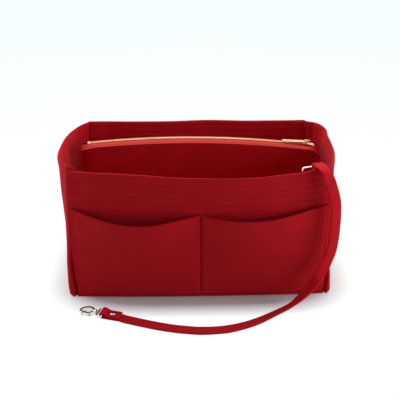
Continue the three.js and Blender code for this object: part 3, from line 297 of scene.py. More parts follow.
class Socket:
    """A shader socket or a number that takes part in Python expressions."""

    def __init__(self, tree, value):
        self.tree, self.value = tree, value

    def node(self, kind, settings, inputs, output=0):
        """A node with its settings, and the values or links of its sockets."""
        made = self.tree.nodes.new(kind)
        for name, value in settings.items():
            setattr(made, name, value)
        for name, value in inputs.items():
            if isinstance(value, Socket):
                value = value.value
            if isinstance(value, bpy.types.NodeSocket):
                self.tree.links.new(value, made.inputs[name])
            else:
                made.inputs[name].default_value = value
        return Socket(self.tree, made.outputs[output])

    def maths(self, operation, first, second=0.0):
        return self.node("ShaderNodeMath", {"operation": operation}, {0: first, 1: second})

    def __add__(self, other):
        return self.maths("ADD", self, other)

    def __radd__(self, other):
        return self.maths("ADD", other, self)

    def __sub__(self, other):
        return self.maths("SUBTRACT", self, other)

    def __rsub__(self, other):
        return self.maths("SUBTRACT", other, self)

    def __mul__(self, other):
        return self.maths("MULTIPLY", self, other)

    def __rmul__(self, other):
        return self.maths("MULTIPLY", other, self)

    def __truediv__(self, other):
        return self.maths("DIVIDE", self, other)

    def __pow__(self, other):
        return self.maths("POWER", self, other)

    def clamp(self):
        return self.node("ShaderNodeClamp", {}, {"Value": self})

    def place(self):
        """Object coordinates."""
        return self.node("ShaderNodeTexCoord", {}, {}, "Object")

    def along(self, axis):
        """One coordinate of the place, given by its letter."""
        return self.node("ShaderNodeSeparateXYZ", {}, {"Vector": self.place()}, axis)

    def noise(self, vector, scale, detail=2.0, roughness=0.5, stretch=None):
        if stretch:
            mapping = {"Vector": vector, "Scale": stretch}
            vector = self.node("ShaderNodeMapping", {}, mapping)
        inputs = {"Vector": vector, "Scale": scale, "Detail": detail, "Roughness": roughness}
        return self.node("ShaderNodeTexNoise", {}, inputs)

    def blend(self, factor, first, second):
        """Colour between two colours."""
        made = self.tree.nodes.new("ShaderNodeMix")
        made.data_type = "RGBA"
        self.tree.links.new(factor.value, made.inputs["Factor"])
        for index, colour in ((6, first), (7, second)):
            if isinstance(colour, Socket):
                self.tree.links.new(colour.value, made.inputs[index])
            else:
                made.inputs[index].default_value = (*colour, 1)
        return Socket(self.tree, made.outputs[2])

    def shades(self, factor, colour, dark, light):
        """A colour that turns darker and lighter by the factors given."""
        return self.blend(factor, tint(colour, dark), tint(colour, light))

    def bump(self, height, strength, distance):
        inputs = {"Height": height, "Strength": strength, "Distance": distance}
        return self.node("ShaderNodeBump", {}, inputs)

    def surface(self, factor, first, second, output):
        """Sends the mix of two shaders to a tree's output."""
        both = self.node("ShaderNodeMixShader", {}, {0: factor, 1: first, 2: second})
        self.tree.links.new(both.value, output.inputs["Surface"])


def new_material(name, **values):
    """A material with its shader's constants set, the socket wrapper and the shader node."""
    material = bpy.data.materials.new(name)
    material.use_nodes = True
    shader = material.node_tree.nodes["Principled BSDF"]
    for label, value in values.items():
        shader.inputs[label.replace("_", " ")].default_value = value
    return material, Socket(material.node_tree, None), shader


def connect(material, shader, **sources):
    """Links sockets to the shader's inputs, whose names have _ for a space."""
    for label, source in sources.items():
        material.node_tree.links.new(source.value, shader.inputs[label.replace("_", " ")])
    return material


def tint(colour, factor):
    return tuple(min(1, channel * factor) for channel in colour)


def felt_material(name, colour, pile=1.0):
    """Dyed needle felt: matted fibres, small lighter flecks and a soft sheen."""
    material, maths, shader = new_material(
        name,
        Roughness=0.92,
        Sheen_Weight=0.12,
        Sheen_Roughness=0.4,
        Sheen_Tint=(1.0, 0.3, 0.32, 1),
        Specular_IOR_Level=0.15,
    )
    place = maths.place()
    cloud = maths.noise(place, 38, 3, 0.6)
    fleck = maths.noise(place, 620, 3, 0.7)
    fibre = maths.noise(place, 900, 2, 0.6, (1.0, 0.35, 1.6))
    hair = maths.noise(place, 1500, 2, 0.7, (0.5, 1.2, 0.6))
    shade = ((cloud - 0.5) * 0.7 + (fleck - 0.5) * 0.9 + 0.5).clamp()
    nap = fibre * 0.6 + hair * 0.3 + fleck * 0.4
    return connect(
        material,
        shader,
        Base_Color=maths.shades(shade, colour, 0.8, 1.22),
        Roughness=(0.84 + fleck * 0.16).clamp(),
        Normal=maths.bump(nap, 0.32 * pile, 0.0006),
    )


def thread_material(name, colour):
    """Twisted sewing thread in the felt's own red."""
    material, maths, shader = new_material(name, Roughness=0.8, Specular_IOR_Level=0.2)
    twist = maths.noise(maths.place(), 2600, 2, 0.5)
    tone = maths.shades(twist, colour, 0.7, 1.25)
    return connect(material, shader, Base_Color=tone, Normal=maths.bump(twist, 0.4, 0.0002))


def tape_material(name, colour):
    """Woven zip tape: fine ribs across it and a slight satin shine."""
    material, maths, shader = new_material(name, Roughness=0.6, Specular_IOR_Level=0.15)
    ribs = maths.maths("SINE", maths.along("X") * (2 * math.pi / 0.0007)) * 0.5 + 0.5
    warp = maths.maths("SINE", maths.along("Y") * (2 * math.pi / 0.0011)) * 0.5 + 0.5
    weave = ribs * 0.6 + warp * 0.4
    wear = maths.noise(maths.place(), 160, 2)
    shade = (weave * 0.6 + wear * 0.4).clamp()
    return connect(
        material,
        shader,
        Base_Color=maths.shades(shade, colour, 0.68, 1.2),
        Roughness=0.5 + wear * 0.2,
        Normal=maths.bump(weave, 0.35, 0.0002),
    )


def metal_material(name, colour, roughness):
    """Plated metal with faint polishing marks and dull spots."""
    material, maths, shader = new_material(name, Metallic=1.0)
    rub = maths.noise(maths.place(), 900, 2, 0.5, (1, 4, 4))
    dull = maths.noise(maths.place(), 260, 3, 0.6)
    return connect(
        material,
        shader,
        Base_Color=maths.shades(dull, colour, 0.86, 1.06),
        Roughness=(roughness + (dull - 0.5) * 0.2 + (rub - 0.5) * 0.12).clamp(),
        Normal=maths.bump(rub, 0.05, 0.0002),
    )


def board_material(name):
    """Grey stiffening board with pressed fibres."""
    material, maths, shader = new_material(name, Roughness=0.7)
    grain = maths.noise(maths.place(), 420, 3, 0.6)
    tone = maths.blend(grain, (0.03, 0.03, 0.032), (0.07, 0.07, 0.074))
    return connect(material, shader, Base_Color=tone, Normal=maths.bump(grain, 0.2, 0.0003))


def seen_directly(tree):
    """1 for rays from the camera and for mirrored or passed ones, 0 for the rays that light."""
    path = tree.nodes.new("ShaderNodeLightPath")
    camera = Socket(tree, path.outputs["Is Camera Ray"])
    glossy = Socket(tree, path.outputs["Is Glossy Ray"])
    passed = Socket(tree, path.outputs["Is Transmission Ray"])
    return camera.maths("MAXIMUM", camera.maths("MAXIMUM", camera, glossy), passed)


def studio_paper():
    """Pale floor that keeps the object's shadow, and fades into the bright backdrop. Near the box
    it is seen greyer than its white further out, which deepens the shadow there: painted shade.
    """
    paper, maths, shader = new_material("studio_paper", Roughness=0.95, Specular_IOR_Level=0.0)
    x, y = maths.along("X"), maths.along("Y")
    wide = x.maths("ABSOLUTE", x) * (1 / FADE_WIDTH)
    deep = y.maths("ABSOLUTE", y) * (1 / FADE_DEPTH)
    far = (((wide**4 + deep**4) ** 0.25 - 1) / FADE_LENGTH).clamp()
    behind = ((x * x + y * y) ** 0.5 - FADE_BEHIND).clamp()
    # Grey paper near the box deepens the box's shadow there: painted shade.
    shown = maths.blend(maths.noise(maths.place(), 3, 2), PAPER_SHADE_DARK, PAPER_SHADE_LIGHT)
    seen = seen_directly(maths.tree)
    tone = maths.blend(seen, tint((1, 1, 1), FLOOR_BOUNCE), shown)
    connect(paper, shader, Base_Color=tone)
    glow = maths.blend(behind, (1, 1, 1), PAPER_FAR)
    bright = maths.node("ShaderNodeEmission", {}, {"Color": glow})
    output = paper.node_tree.nodes["Material Output"]
    maths.surface(seen * far, shader.outputs[0], bright, output)
    return paper


# Modelling helpers


def deselect_all():
    if bpy.context.object and bpy.context.object.mode != "OBJECT":
        bpy.ops.object.mode_set(mode="OBJECT")
    bpy.ops.object.select_all(action="DESELECT")


def activate(piece):
    deselect_all()
    piece.select_set(True)
    bpy.context.view_layer.objects.active = piece


def edit_mesh(piece, *operations):
    """Runs operators on all of a piece's mesh in edit mode."""
    activate(piece)
    bpy.ops.object.mode_set(mode="EDIT")
    bpy.ops.mesh.select_all(action="SELECT")
    for operation in operations:
        operation()
    bpy.ops.object.mode_set(mode="OBJECT")


def turn_outwards(piece):
    """Makes the faces of closed shapes point outwards."""
    edit_mesh(piece, lambda: bpy.ops.mesh.normals_make_consistent(inside=False))
    return piece


def add_piece(name, data):
    """An object with its mesh, camera or light, in the scene."""
    piece = bpy.data.objects.new(name, data)
    bpy.context.scene.collection.objects.link(piece)
    return piece


def mesh_piece(name, points, faces):
    """A piece from its points, in metres, and its faces."""
    mesh = bpy.data.meshes.new(name)
    mesh.from_pydata(points, [], faces)
    return add_piece(name, mesh)


def take_seed():
    """Corners and faces of the active object, which is removed."""
    seed = bpy.context.object
    corners = [vertex.co.copy() for vertex in seed.data.vertices]
    faces = [tuple(polygon.vertices) for polygon in seed.data.polygons]
    bpy.data.objects.remove(seed)
    return corners, faces


def add_copy(points, faces, seed, move):
    """Adds a copy of a seed, each corner of which goes to move(corner)."""
    first = len(points)
    points += [move(corner) for corner in seed[0]]
    faces += [tuple(first + k for k in face) for face in seed[1]]


def add_modifier(piece, kind, **settings):
    """Adds a modifier and applies it."""
    activate(piece)
    modifier = piece.modifiers.new(kind, kind)
    for name, value in settings.items():
        setattr(modifier, name, value)
    bpy.ops.object.modifier_apply(modifier=modifier.name)


def finish_piece(piece, body, finish, slot, *nodes, smooth=35):
    """Gives a piece its finish, the body that it rides on and the nodes that it stands for."""
    activate(piece)
    bpy.ops.object.shade_smooth_by_angle(angle=math.radians(smooth))
    piece.data.materials.clear()
    piece.data.materials.append(finish)
    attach(piece, body)
    if nodes:
        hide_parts(*nodes)
    return piece


def finish_felt(piece, node):
    """Finishes a felt piece of the box, which stands for one node."""
    finish_piece(piece, "box", material("felt"), "felt", node)


def edge_rows(radius, count=5):
    """Distances from an edge at which its rounding has rows."""
    return [radius * (1 - math.cos(math.pi / 2 * k / count)) for k in range(count)]


def steps(length, low_radius, high_radius, *zones, rounds=5):
    """Shares of a length from 0 to 1, with the rows of a round edge at both ends.

    Each zone between them is the place of its end and its number of rows. The last zone's
    place is None and ends where the far edge begins, which has as many rows as rounds says.
    """
    rows, start = edge_rows(low_radius), low_radius
    for place, count in zones:
        end = length - high_radius if place is None else place
        rows += [mix(start, end, k / count) for k in range(count)]
        start = end
    far = [high_radius, *reversed(edge_rows(high_radius, rounds))]
    return [row / length for row in rows + [length - distance for distance in far]]


def grid_piece(name, place, us, vs):
    """A grid whose points are moved to place(u, v), in millimetres, for the shares given."""
    deselect_all()
    bpy.ops.mesh.primitive_grid_add(
        x_subdivisions=len(us) - 1, y_subdivisions=len(vs) - 1, size=1
    )
    piece = bpy.context.object
    piece.name = piece.data.name = name
    for row, v in enumerate(vs):
        for column, u in enumerate(us):
            piece.data.vertices[row * len(us) + column].co = Vector(place(u, v)) * MM
    piece.data.update()
    return piece


def distances(points, columns):
    """For every point of a grid: its distance along the surface to the four edges."""
    rows = len(points) // columns

    def along(lines):
        near = {}
        for line in lines:
            total = [0.0]
            for a, b in zip(line, line[1:]):
                total.append(total[-1] + (points[b] - points[a]).length)
            for index, length in zip(line, total):
                near[index] = (length / MM, (total[-1] - length) / MM)
        return near

    across = along([[row * columns + k for k in range(columns)] for row in range(rows)])
    up = along([[row * columns + k for row in range(rows)] for k in range(columns)])
    return across, up


def edge_inset(distance, edge):
    """How deep a round edge lies inside the flat face, at a distance from the edge.

    An edge is its radius, or how far it reaches over the face and how deep it goes.
    """
    reach, deep = edge if isinstance(edge, tuple) else (edge, edge)
    short = max(0, 1 - distance / reach)
    return deep * (1 - math.sqrt(1 - short * short))


def felt_sheet(name, place, us, vs, thickness, outside, outer, inner, lines=None, back=None):
    """A sheet of felt with round edges, whose outer face is at place(u, v).

    outside is the way that its outer face looks, or gives it for a point of the face. outer
    and inner are the radii of the edges of its two faces: sides, low edge and top edge. lines
    and back give how deep the outer and the inner face are drawn in at a point.
    """
    piece = grid_piece(name, place, us, vs)
    face_towards(piece, outside)
    count = len(us) * len(vs)
    normals = [vertex.normal.copy() for vertex in piece.data.vertices]
    points = [vertex.co.copy() for vertex in piece.data.vertices]
    across, up = distances(points, len(us))
    add_modifier(piece, "SOLIDIFY", thickness=thickness * MM, offset=-1, use_even_offset=True)
    vertices = piece.data.vertices
    for index, normal in enumerate(normals):
        side = min(across[index])
        low, top = up[index]
        for layer, radii, drawn, way in ((0, outer, lines, -1), (count, inner, back, 1)):
            depth = max(
                edge_inset(side, radii[0]), edge_inset(low, radii[1]), edge_inset(top, radii[2])
            )
            if drawn:
                depth += drawn(points[index] / MM)
            x, y, z = vertices[layer + index].co + normal * way * depth * MM
            vertices[layer + index].co = (x, y, max(0, z))
    piece.data.update()
    return piece


def sew(name, rows, deep):
    """Rows of stitches. Each row is a line of places in the felt's face and the way out of it."""
    deselect_all()
    bpy.ops.mesh.primitive_uv_sphere_add(segments=6, ring_count=5, radius=1)
    seed = take_seed()
    pitch, wide = shape().stitch_length / MM, shape().thread_thickness / MM / 2
    points, faces = [], []
    for line in rows:
        wait = pitch / 2
        for (start, out), (end, _) in zip(line, line[1:]):
            step = end - start
            while wait < step.length:
                along = step.normalized()
                side = out.cross(along).normalized()
                up = along.cross(side)
                centre = start + along * wait - up * deep

                def stitch(corner):
                    bent = corner.z * wide - STITCH_BEND * corner.x**2
                    length = along * corner.x * pitch * STITCH_FILL
                    return (centre + (length + side * corner.y * wide + up * bent)) * MM

                add_copy(points, faces, seed, stitch)
                wait += pitch
            wait -= step.length
    piece = turn_outwards(mesh_piece(name, points, faces))
    return finish_piece(piece, "box", material("thread"), "felt", smooth=60)


def seam_row(place, v, out, count, first, last):
    """Places along a piece at one share of its height, for the steps from first to last."""
    return [(Vector(place(k / count, v)), out) for k in range(first, last)]


def finer_copy(node, body, kind, rounding, rounds=0):
    """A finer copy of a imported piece, with round edges or subdivided, that stands for it."""
    piece = add_piece(f"{node}_finish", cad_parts[node].data.copy())
    edit_mesh(
        piece,
        lambda: bpy.ops.mesh.remove_doubles(threshold=0.000002),
        lambda: bpy.ops.mesh.dissolve_limited(angle_limit=math.radians(1)),
    )
    if rounding:
        add_modifier(
            piece,
            "BEVEL",
            width=rounding * MM,
            segments=3,
            limit_method="ANGLE",
            angle_limit=math.radians(28),
            use_clamp_overlap=True,
        )
    if rounds:
        add_modifier(piece, "SUBSURF", levels=rounds, render_levels=rounds)
    return finish_piece(piece, body, material(kind), kind, node, smooth=40)


def lofted_piece(name, rings):
    """A closed skin over rings of points, in millimetres, with its two ends covered."""
    count = len(rings[0])
    points = [point * MM for ring in rings for point in ring]
    faces = [tuple(range(count))[::-1]]
    for row in range(len(rings) - 1):
        for k in range(count):
            after = (k + 1) % count
            low, high = row * count, (row + 1) * count
            faces.append((low + k, low + after, high + after, high + k))
    last = (len(rings) - 1) * count
    faces.append(tuple(range(last, last + count)))
    return turn_outwards(mesh_piece(name, points, faces))


def strap_section():
    """Outline of the strap across its length: pairs of sideways place and height."""
    rounding = STRAP_ROUNDING
    half, thick = STRAP_WIDTH / 2 - rounding, STRAP_THICKNESS / 2 - rounding
    outline = []
    for side, height, start in ((1, 1, 0), (-1, 1, 90), (-1, -1, 180), (1, -1, 270)):
        for k in range(4):
            angle = math.radians(start + 30 * k)
            x = side * half + rounding * math.cos(angle)
            outline.append((x, height * thick + rounding * math.sin(angle)))
        if side * height > 0:
            for k in range(1, 6):
                x = mix(side * half, -side * half, k / 6)
                belly = 0.15 * crown(x / half, 3)
                outline.append((x, height * (thick + rounding + belly)))
    return outline


def face_towards(piece, outside):
    """Turns the grid's faces so that their normals look outside."""
    way = outside if callable(outside) else lambda centre: outside
    total = sum(
        polygon.normal.dot(Vector(way(polygon.center / MM))) * polygon.area
        for polygon in piece.data.polygons
    )
    if total < 0:
        edit_mesh(piece, bpy.ops.mesh.flip_normals)


def shape():
    return bpy.context.scene.organizer_shape


def colours():
    return bpy.context.scene.organizer_colours


MATERIALS = {}


def material(kind):
    """The shared materials, made when first asked for."""
    if kind not in MATERIALS:
        palette = colours()
        makers = {
            "felt": (felt_material, "felt_red", tuple(palette.felt)),
            # The strap's felt is the box's felt made lighter. This is partly a lighter felt, and
            # partly painted light for the stronger light that the strap catches in front of the
            # box.
            "strap_felt": (felt_material, "strap_felt_red", tint(palette.felt, 1.2), 0.7),
            "thread": (thread_material, "sewing_thread_red", tint(palette.felt, 0.8)),
            "tape": (tape_material, "zip_tape_red", tuple(palette.tape)),
            "zip_metal": (metal_material, "zip_light_gold", tuple(palette.zip_metal), 0.22),
            "nickel": (metal_material, "nickel_plate", tuple(palette.nickel), 0.16),
            "steel": (metal_material, "spring_wire", (0.5, 0.5, 0.5), 0.3),
            "board": (board_material, "stiffening_board"),
        }
        maker, *values = makers[kind]
        MATERIALS[kind] = maker(*values)
    return MATERIALS[kind]


# Leash strap, from the ring to the clasp: its place as a share of the front rim's half length,
# how far it is in front of the rim's ends, its share of the height, and the way of its width.
# The route is the one in the part's source, with the width turned further and the lower part
# a little higher.
STRAP_ROUTE = [
    (0.903, 5, 1.014, (0.94, 0.34, -0.06)),
    (0.922, 10.4, 0.999, (0.9, 0.34, -0.25)),
    (0.946, 13, 0.952, (0.88, 0.2, -0.46)),
    (0.977, 13.6, 0.873, (0.9, 0.26, -0.34)),
    (1.003, 14.2, 0.793, (0.93, 0.32, -0.18)),
    (1.013, 14.8, 0.705, (0.94, 0.34, -0.04)),
    (1.015, 15.6, 0.607, (0.94, 0.34, 0.02)),
    (1.011, 16.6, 0.497, (0.93, 0.34, 0.12)),
    (0.998, 17.8, 0.407, (0.9, 0.3, 0.28)),
    (0.967, 19.8, 0.327, (0.84, 0.24, 0.4)),
    (0.909, 23.2, 0.224, (0.8, 0.12, 0.46)),
    (0.822, 28.4, 0.124, (0.38, -0.92, 0.05)),
    (0.702, 36.4, 0.048, (0.27, -0.87, 0.41)),
    (0.565, 47.2, 3.7 / HEIGHT, (0.44, -0.82, 0.36)),
    (0.378, 62.8, 2.4 / HEIGHT, (0.42, -0.89, 0.16)),
    (0.196, 71.8, 1.8 / HEIGHT, (0.22, -0.97, 0.04)),
    (0.014, 74.2, 1.6 / HEIGHT, (-0.02, -1, 0)),
    (-0.115, 72.4, 1.6 / HEIGHT, (-0.14, -0.99, 0)),
    (-0.259, 68, 1.6 / HEIGHT, (-0.24, -0.97, 0)),
    (-0.422, 60.6, 1.7 / HEIGHT, (-0.31, -0.95, 0)),
    (-0.598, 51.3, 2.1 / HEIGHT, (-0.31, -0.95, 0)),
]

# Middles of the bars that the strap is turned round, and the ways along and across it there
RING_BAR = Vector((122.45946, -70.43739, 149.03226))
RING_ALONG = Vector((0.25376, -0.96727, 0))
RING_ACROSS = Vector((0.96727, 0.25376, 0))
CLASP_BAR = Vector((-103.9025, -122.5, 5))
CLASP_ALONG = Vector((0.95106, -0.30902, 0))
CLASP_ACROSS = Vector((-0.30902, -0.95106, 0))


def strap_stations():
    """Middle of the strap and the way of its width, at the places that its route goes through."""

    def ring_end(distance):
        rise = Vector((0, 0, RING_WIRE + GAP + STRAP_THICKNESS / 2))
        return (RING_BAR + RING_ALONG * distance + rise, RING_ACROSS)

    def clasp_end(distance):
        drop = Vector((0, 0, EYE_WIRE + GAP + STRAP_THICKNESS / 2))
        return (CLASP_BAR + CLASP_ALONG * distance - drop, CLASP_ACROSS)

    middle = []
    for along, out, up, across in STRAP_ROUTE:
        at = (along * RIM_LENGTH_FRONT / 2, -RIM_DEPTH / 2 - out, up * HEIGHT)
        middle.append((Vector(at), Vector(across)))
    start = [ring_end(distance) for distance in (1.6, 6)]
    return start + middle + [clasp_end(distance) for distance in (20.6, 9, 1.6)]


def catmull(points, count):
    """Centripetal curve through points: places, and the share of the way between two points."""
    padded = [points[0] * 2 - points[1], *points, points[-1] * 2 - points[-2]]
    out = []
    for i in range(1, len(padded) - 2):
        p0, p1, p2, p3 = padded[i - 1 : i + 3]
        t0 = 0.0
        t1 = t0 + (p1 - p0).length ** 0.5
        t2 = t1 + (p2 - p1).length ** 0.5
        t3 = t2 + (p3 - p2).length ** 0.5
        last = i == len(padded) - 3
        for k in range(count + (1 if last else 0)):
            t = mix(t1, t2, k / count)

            def between(first, second, start, end):
                return first * ((end - t) / (end - start)) + second * ((t - start) / (end - start))

            a1, a2, a3 = between(p0, p1, t0, t1), between(p1, p2, t1, t2), between(p2, p3, t2, t3)
            b1, b2 = between(a1, a2, t0, t2), between(a2, a3, t1, t3)
            out.append((between(b1, b2, t1, t2), i - 1 + k / count))
    return out


def strap_line():
    """Middle line of the strap with its width and its upward direction at each place."""
    stations = strap_stations()
    places = catmull([at for at, _ in stations], STRAP_STEPS)
    line = []
    for index, (at, place) in enumerate(places):
        before = places[max(0, index - 1)][0]
        after = places[min(len(places) - 1, index + 1)][0]
        tangent = (after - before).normalized()
        low = min(len(stations) - 2, int(place))
        across = stations[low][1].lerp(stations[low + 1][1], place - low)
        across = (across - tangent * across.dot(tangent)).normalized()
        line.append((at, across, tangent.cross(across)))
    return line


def strap_length(line):
    return sum((after[0] - before[0]).length for before, after in zip(line, line[1:]))


class ORGANIZER_OT_stage(bpy.types.Operator):
    """Floor, lights and the camera at the photograph's angle"""

    bl_idname = "organizer.stage"
    bl_label = "Stage"

    def execute(self, context):
        camera_data = bpy.data.cameras.new("camera")
        camera_data.sensor_width = SENSOR_WIDTH
        camera_data.lens = FOCAL_PIXELS / PICTURE_PIXELS * SENSOR_WIDTH
        camera_data.clip_start = 0.01
        camera = add_piece("camera", camera_data)
        camera.location = CAMERA_PLACE
        camera.rotation_euler = (math.pi / 2 - CAMERA_PITCH, 0, CAMERA_YAW)
        context.scene.camera = camera

        deselect_all()
        bpy.ops.mesh.primitive_grid_add(x_subdivisions=60, y_subdivisions=60, size=1)
        floor = context.object
        floor.name = floor.data.name = "floor"
        for vertex in floor.data.vertices:
            x, y = vertex.co.x * FLOOR_SIZE, vertex.co.y * FLOOR_SIZE + FLOOR_SHIFT
            lift = max(0.0, y - FLOOR_FLAT)
            vertex.co = (x, y, FLOOR_RISE * lift * lift)
        floor.data.materials.append(studio_paper())
        bpy.ops.object.shade_smooth()

        world = bpy.data.worlds.new("studio")
        context.scene.world = world
        world.use_nodes = True
        tree = world.node_tree
        tree.nodes.clear()
        maths = Socket(tree, None)
        lit, shown = (
            maths.node("ShaderNodeBackground", {}, {"Color": tone, "Strength": level})
            for tone, level in ((WORLD_TONE, WORLD_LIGHT), (BACKDROP_TONE, BACKDROP_LEVEL))
        )
        output = tree.nodes.new("ShaderNodeOutputWorld")
        maths.surface(seen_directly(tree), lit, shown, output)

        for name, (place, aim, size, power) in SOFT_BOXES.items():
            light = bpy.data.lights.new(name, "AREA")
            light.shape, light.size, light.size_y = "RECTANGLE", size[0], size[1]
            light.energy = power
            holder = add_piece(name, light)
            holder.location = place
            direction = Vector(aim) - Vector(place)
            holder.rotation_euler = direction.to_track_quat("-Z", "Y").to_euler()
        context.scene.view_settings.view_transform = "Standard"
        return {"FINISHED"}


class ORGANIZER_OT_strap(bpy.types.Operator):
    """Felt strap of the leash, hanging from the ring and lying on the floor"""

    bl_idname = "organizer.strap"
    bl_label = "Leash strap"

    def execute(self, context):
        line = strap_line()
        rings = []
        for index, (at, across, up) in enumerate(line):
            ring = []
            for side, height in strap_section():
                wave = 0.1 * math.sin(index * 0.53 + side) * side / STRAP_WIDTH
                ring.append(at + across * (side + wave) + up * height)
            rings.append(ring)
        strap = lofted_piece("leash_strap_felt", rings)
        finish_piece(strap, "box", material("strap_felt"), "felt", "leash_strap")
        path = [tuple(at * MM) for at, _, _ in line]
        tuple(path[0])
        strap_length(line) * MM
        return {"FINISHED"}


def quilt_places(wall):
    """How far each row of quilting is below the rim."""
    pitch = shape().quilt_pitch / MM
    return [wall["first_row"] + pitch * row for row in range(shape().quilt_rows)]


def quilt_lines(wall, broad, narrow):
    """Depth of the quilted channels below the rim at a point of a wall."""
    places = quilt_places(wall)

    def drawn(point):
        t = point.x / half_length(wall, max(0, point.z))
        below = rim_height(wall, max(-1, min(1, t))) - point.z
        return sum(
            broad * bump(below, place, 1.8) + narrow * bump(below, place, 0.6) for place in places
        )

    return drawn


def wall_place(wall, low, inset, corner, margin):
    """Place function of a piece along a wall, with round top corners and margin(side, z)."""

    def place(u, v):
        t = 2 * u - 1
        side = 1 if t > 0 else -1
        edge = (1 - abs(t)) * wall["rim"] / 2
        z = mix(low, rim_height(wall, t) - corner_drop(edge, corner), v)
        x = t * (half_length(wall, z) - margin(side, z))
        return (x, wall_face(wall, x, z, inset(x, z)), z)

    return place


def quilt_rows(wall, margin, inset, inwards):
    """Lines of places along the quilted rows of one face of a wall."""
    rows = []
    half, count = wall["rim"] / 2, 180
    out = Vector((0, -wall["sign"] * inwards, 0))
    for below in quilt_places(wall):
        line = []
        for k in range(count + 1):
            x = mix(margin - half, half - margin, k / count)
            z = rim_height(wall, x / half) - below
            line.append((Vector((x, wall_face(wall, x, z, inset), z)), out))
        rows.append(line)
    return rows


def right_short(wall, side, z):
    """How much earlier the front wall ends at the top of its right side."""
    return RIGHT_RIM_SHORT * ease(z, 110, HEIGHT) if wall is FRONT and side > 0 else 0


def wall_panel(wall, name):
    """A long wall, drawn in by the quilting and by the pocket's seam at its foot."""
    quilted = quilt_lines(wall, 0.4, 0.4)

    def drawn(point):
        foot = 1.3 * bump(point.z, POCKET_FOOT_SEAM - 0.6, 1) if wall is FRONT else 0
        return quilted(point) + foot

    soft = shape().felt_rounding / MM
    panel = felt_sheet(
        f"{name}_wall_felt",
        wall_place(wall, 0, lambda x, z: 0, 3.2, lambda side, z: right_short(wall, side, z)),
        steps(wall["rim"], soft, soft, (6, 6), (wall["rim"] - 6, 120), (None, 6)),
        steps(HEIGHT, 5, 8, (12, 8), (108, 24), (None, 60), rounds=14),
        FELT,
        (0, wall["sign"], 0),
        (soft, (5, 2.2), (8, 2.5)),
        (soft, 0.3, 0.5),
        drawn,
    )
    finish_felt(panel, f"{name}_panel")


def rim_facing(wall, name):
    """The second felt layer inside a rim, which lies over the end panels' lips at the back."""

    def inset(x, z):
        lip = ease(abs(x), 108, 127) * (FELT + GAP) if wall is BACK else 0
        return FACING_INSET + lip

    low, margins = HEIGHT - FACING_HEIGHT, wall["facing_margin"]
    facing = felt_sheet(
        f"{name}_rim_facing_felt",
        wall_place(wall, low, inset, 2, lambda side, z: margins[side]),
        steps(wall["rim"], 0.9, 0.9, (16, 12), (wall["rim"] - 16, 100), (None, 12)),
        steps(FACING_HEIGHT, 0.9, 5, (None, 52), rounds=10),
        FACING_THICKNESS,
        (0, -wall["sign"], 0),
        (0.9, 0.9, (5, 1.5)),
        (0.4, 0.4, 0.3),
        quilt_lines(wall, 0.55, 0.45),
    )
    finish_felt(facing, f"{name}_rim_facing")


def side_seam(wall, side):
    """Places down one side of a wall, above the pockets on the front."""
    line, count = [], 59
    low = POCKET_HEIGHT + 4 if wall is FRONT else 6
    for k in range(count + 1):
        z = mix(low, HEIGHT - 4, k / count)
        x = side * (half_length(wall, z) - right_short(wall, side, z) - SIDE_SEAM)
        line.append((Vector((x, wall_face(wall, x, z, 0), z)), Vector((0, wall["sign"], 0))))
    return line


class ORGANIZER_OT_walls(bpy.types.Operator):
    """Front and back walls with their quilted rims, and the facings inside them"""

    bl_idname = "organizer.walls"
    bl_label = "Walls"

    def execute(self, context):
        for wall, name in ((FRONT, "front"), (BACK, "back")):
            wall_panel(wall, name)
            rim_facing(wall, name)
            inside = wall["facing_margin"][1] + 12
            sew(f"{name}_quilting_outside", quilt_rows(wall, 3.5, 0, -1), 0.62)
            sew(f"{name}_quilting_inside", quilt_rows(wall, inside, FACING_INSET, 1), 0.82)
            sew(f"{name}_side_seams", [side_seam(wall, side) for side in (-1, 1)], 0.1)
        return {"FINISHED"}


def corner_x(wall, z, side):
    """How far from the middle an end panel reaches at one of its corners."""
    return half_length(wall, z) - wall["belly"] * 0.3 + profile(wall["corner"][side], z)


def end_line(y, z, side, near, far):
    """X of an end panel's outer face between its two corners."""
    share = (y - near) / (far - near)
    high = z / HEIGHT
    line = mix(corner_x(FRONT, z, side), corner_x(BACK, z, side), share)
    bow = mix(END_BOW_BASE, END_BOW_RIM[side], high) * crown(2 * share - 1, END_BOW_POWER)
    settle = hills(share, END_SETTLE[side])
    if side < 0:
        settle += 0.2 * crown(2 * share - 1, 4)
    flare = END_FLARE[side] * ease(z, 128, HEIGHT) ** 2 * crown(2 * share - 1, 6)
    ripple = 0.7 * math.sin(z / 16 + 2 * share * side) * high * (1 - high) * 2
    return line + bow + settle * high**2 + flare + ripple


def turned_corner(wall, z, side):
    """Outline of an end panel's lip behind a wall and of its corner, at one height."""
    edge = half_length(wall, z)
    arc_x = corner_x(wall, z, side) - CORNER_RADIUS
    set_back = END_RIM_SET_BACK * ease(z, 104, HEIGHT) if side < 0 and wall is FRONT else 0
    inset = FELT + GAP + set_back
    pillow = END_FOOT_PILLOW * (1 - ease(z, 8, 62))

    def forward(x):
        return wall["sign"] * pillow * ease(x, edge + 0.4, edge + 3.4)

    half = []
    for k in range(17):
        x = mix(edge - SEAM_LIP, arc_x, k / 16)
        half.append((x, wall_face(wall, x * side, z, inset) + forward(x)))
    start = wall_face(wall, arc_x * side, z, inset)
    for k in range(1, 9):
        angle = k / 8 * math.pi / 2
        x = arc_x + CORNER_RADIUS * math.sin(angle)
        y = start - wall["sign"] * CORNER_RADIUS * (1 - math.cos(angle)) + forward(x)
        half.append((x, y))
    return half


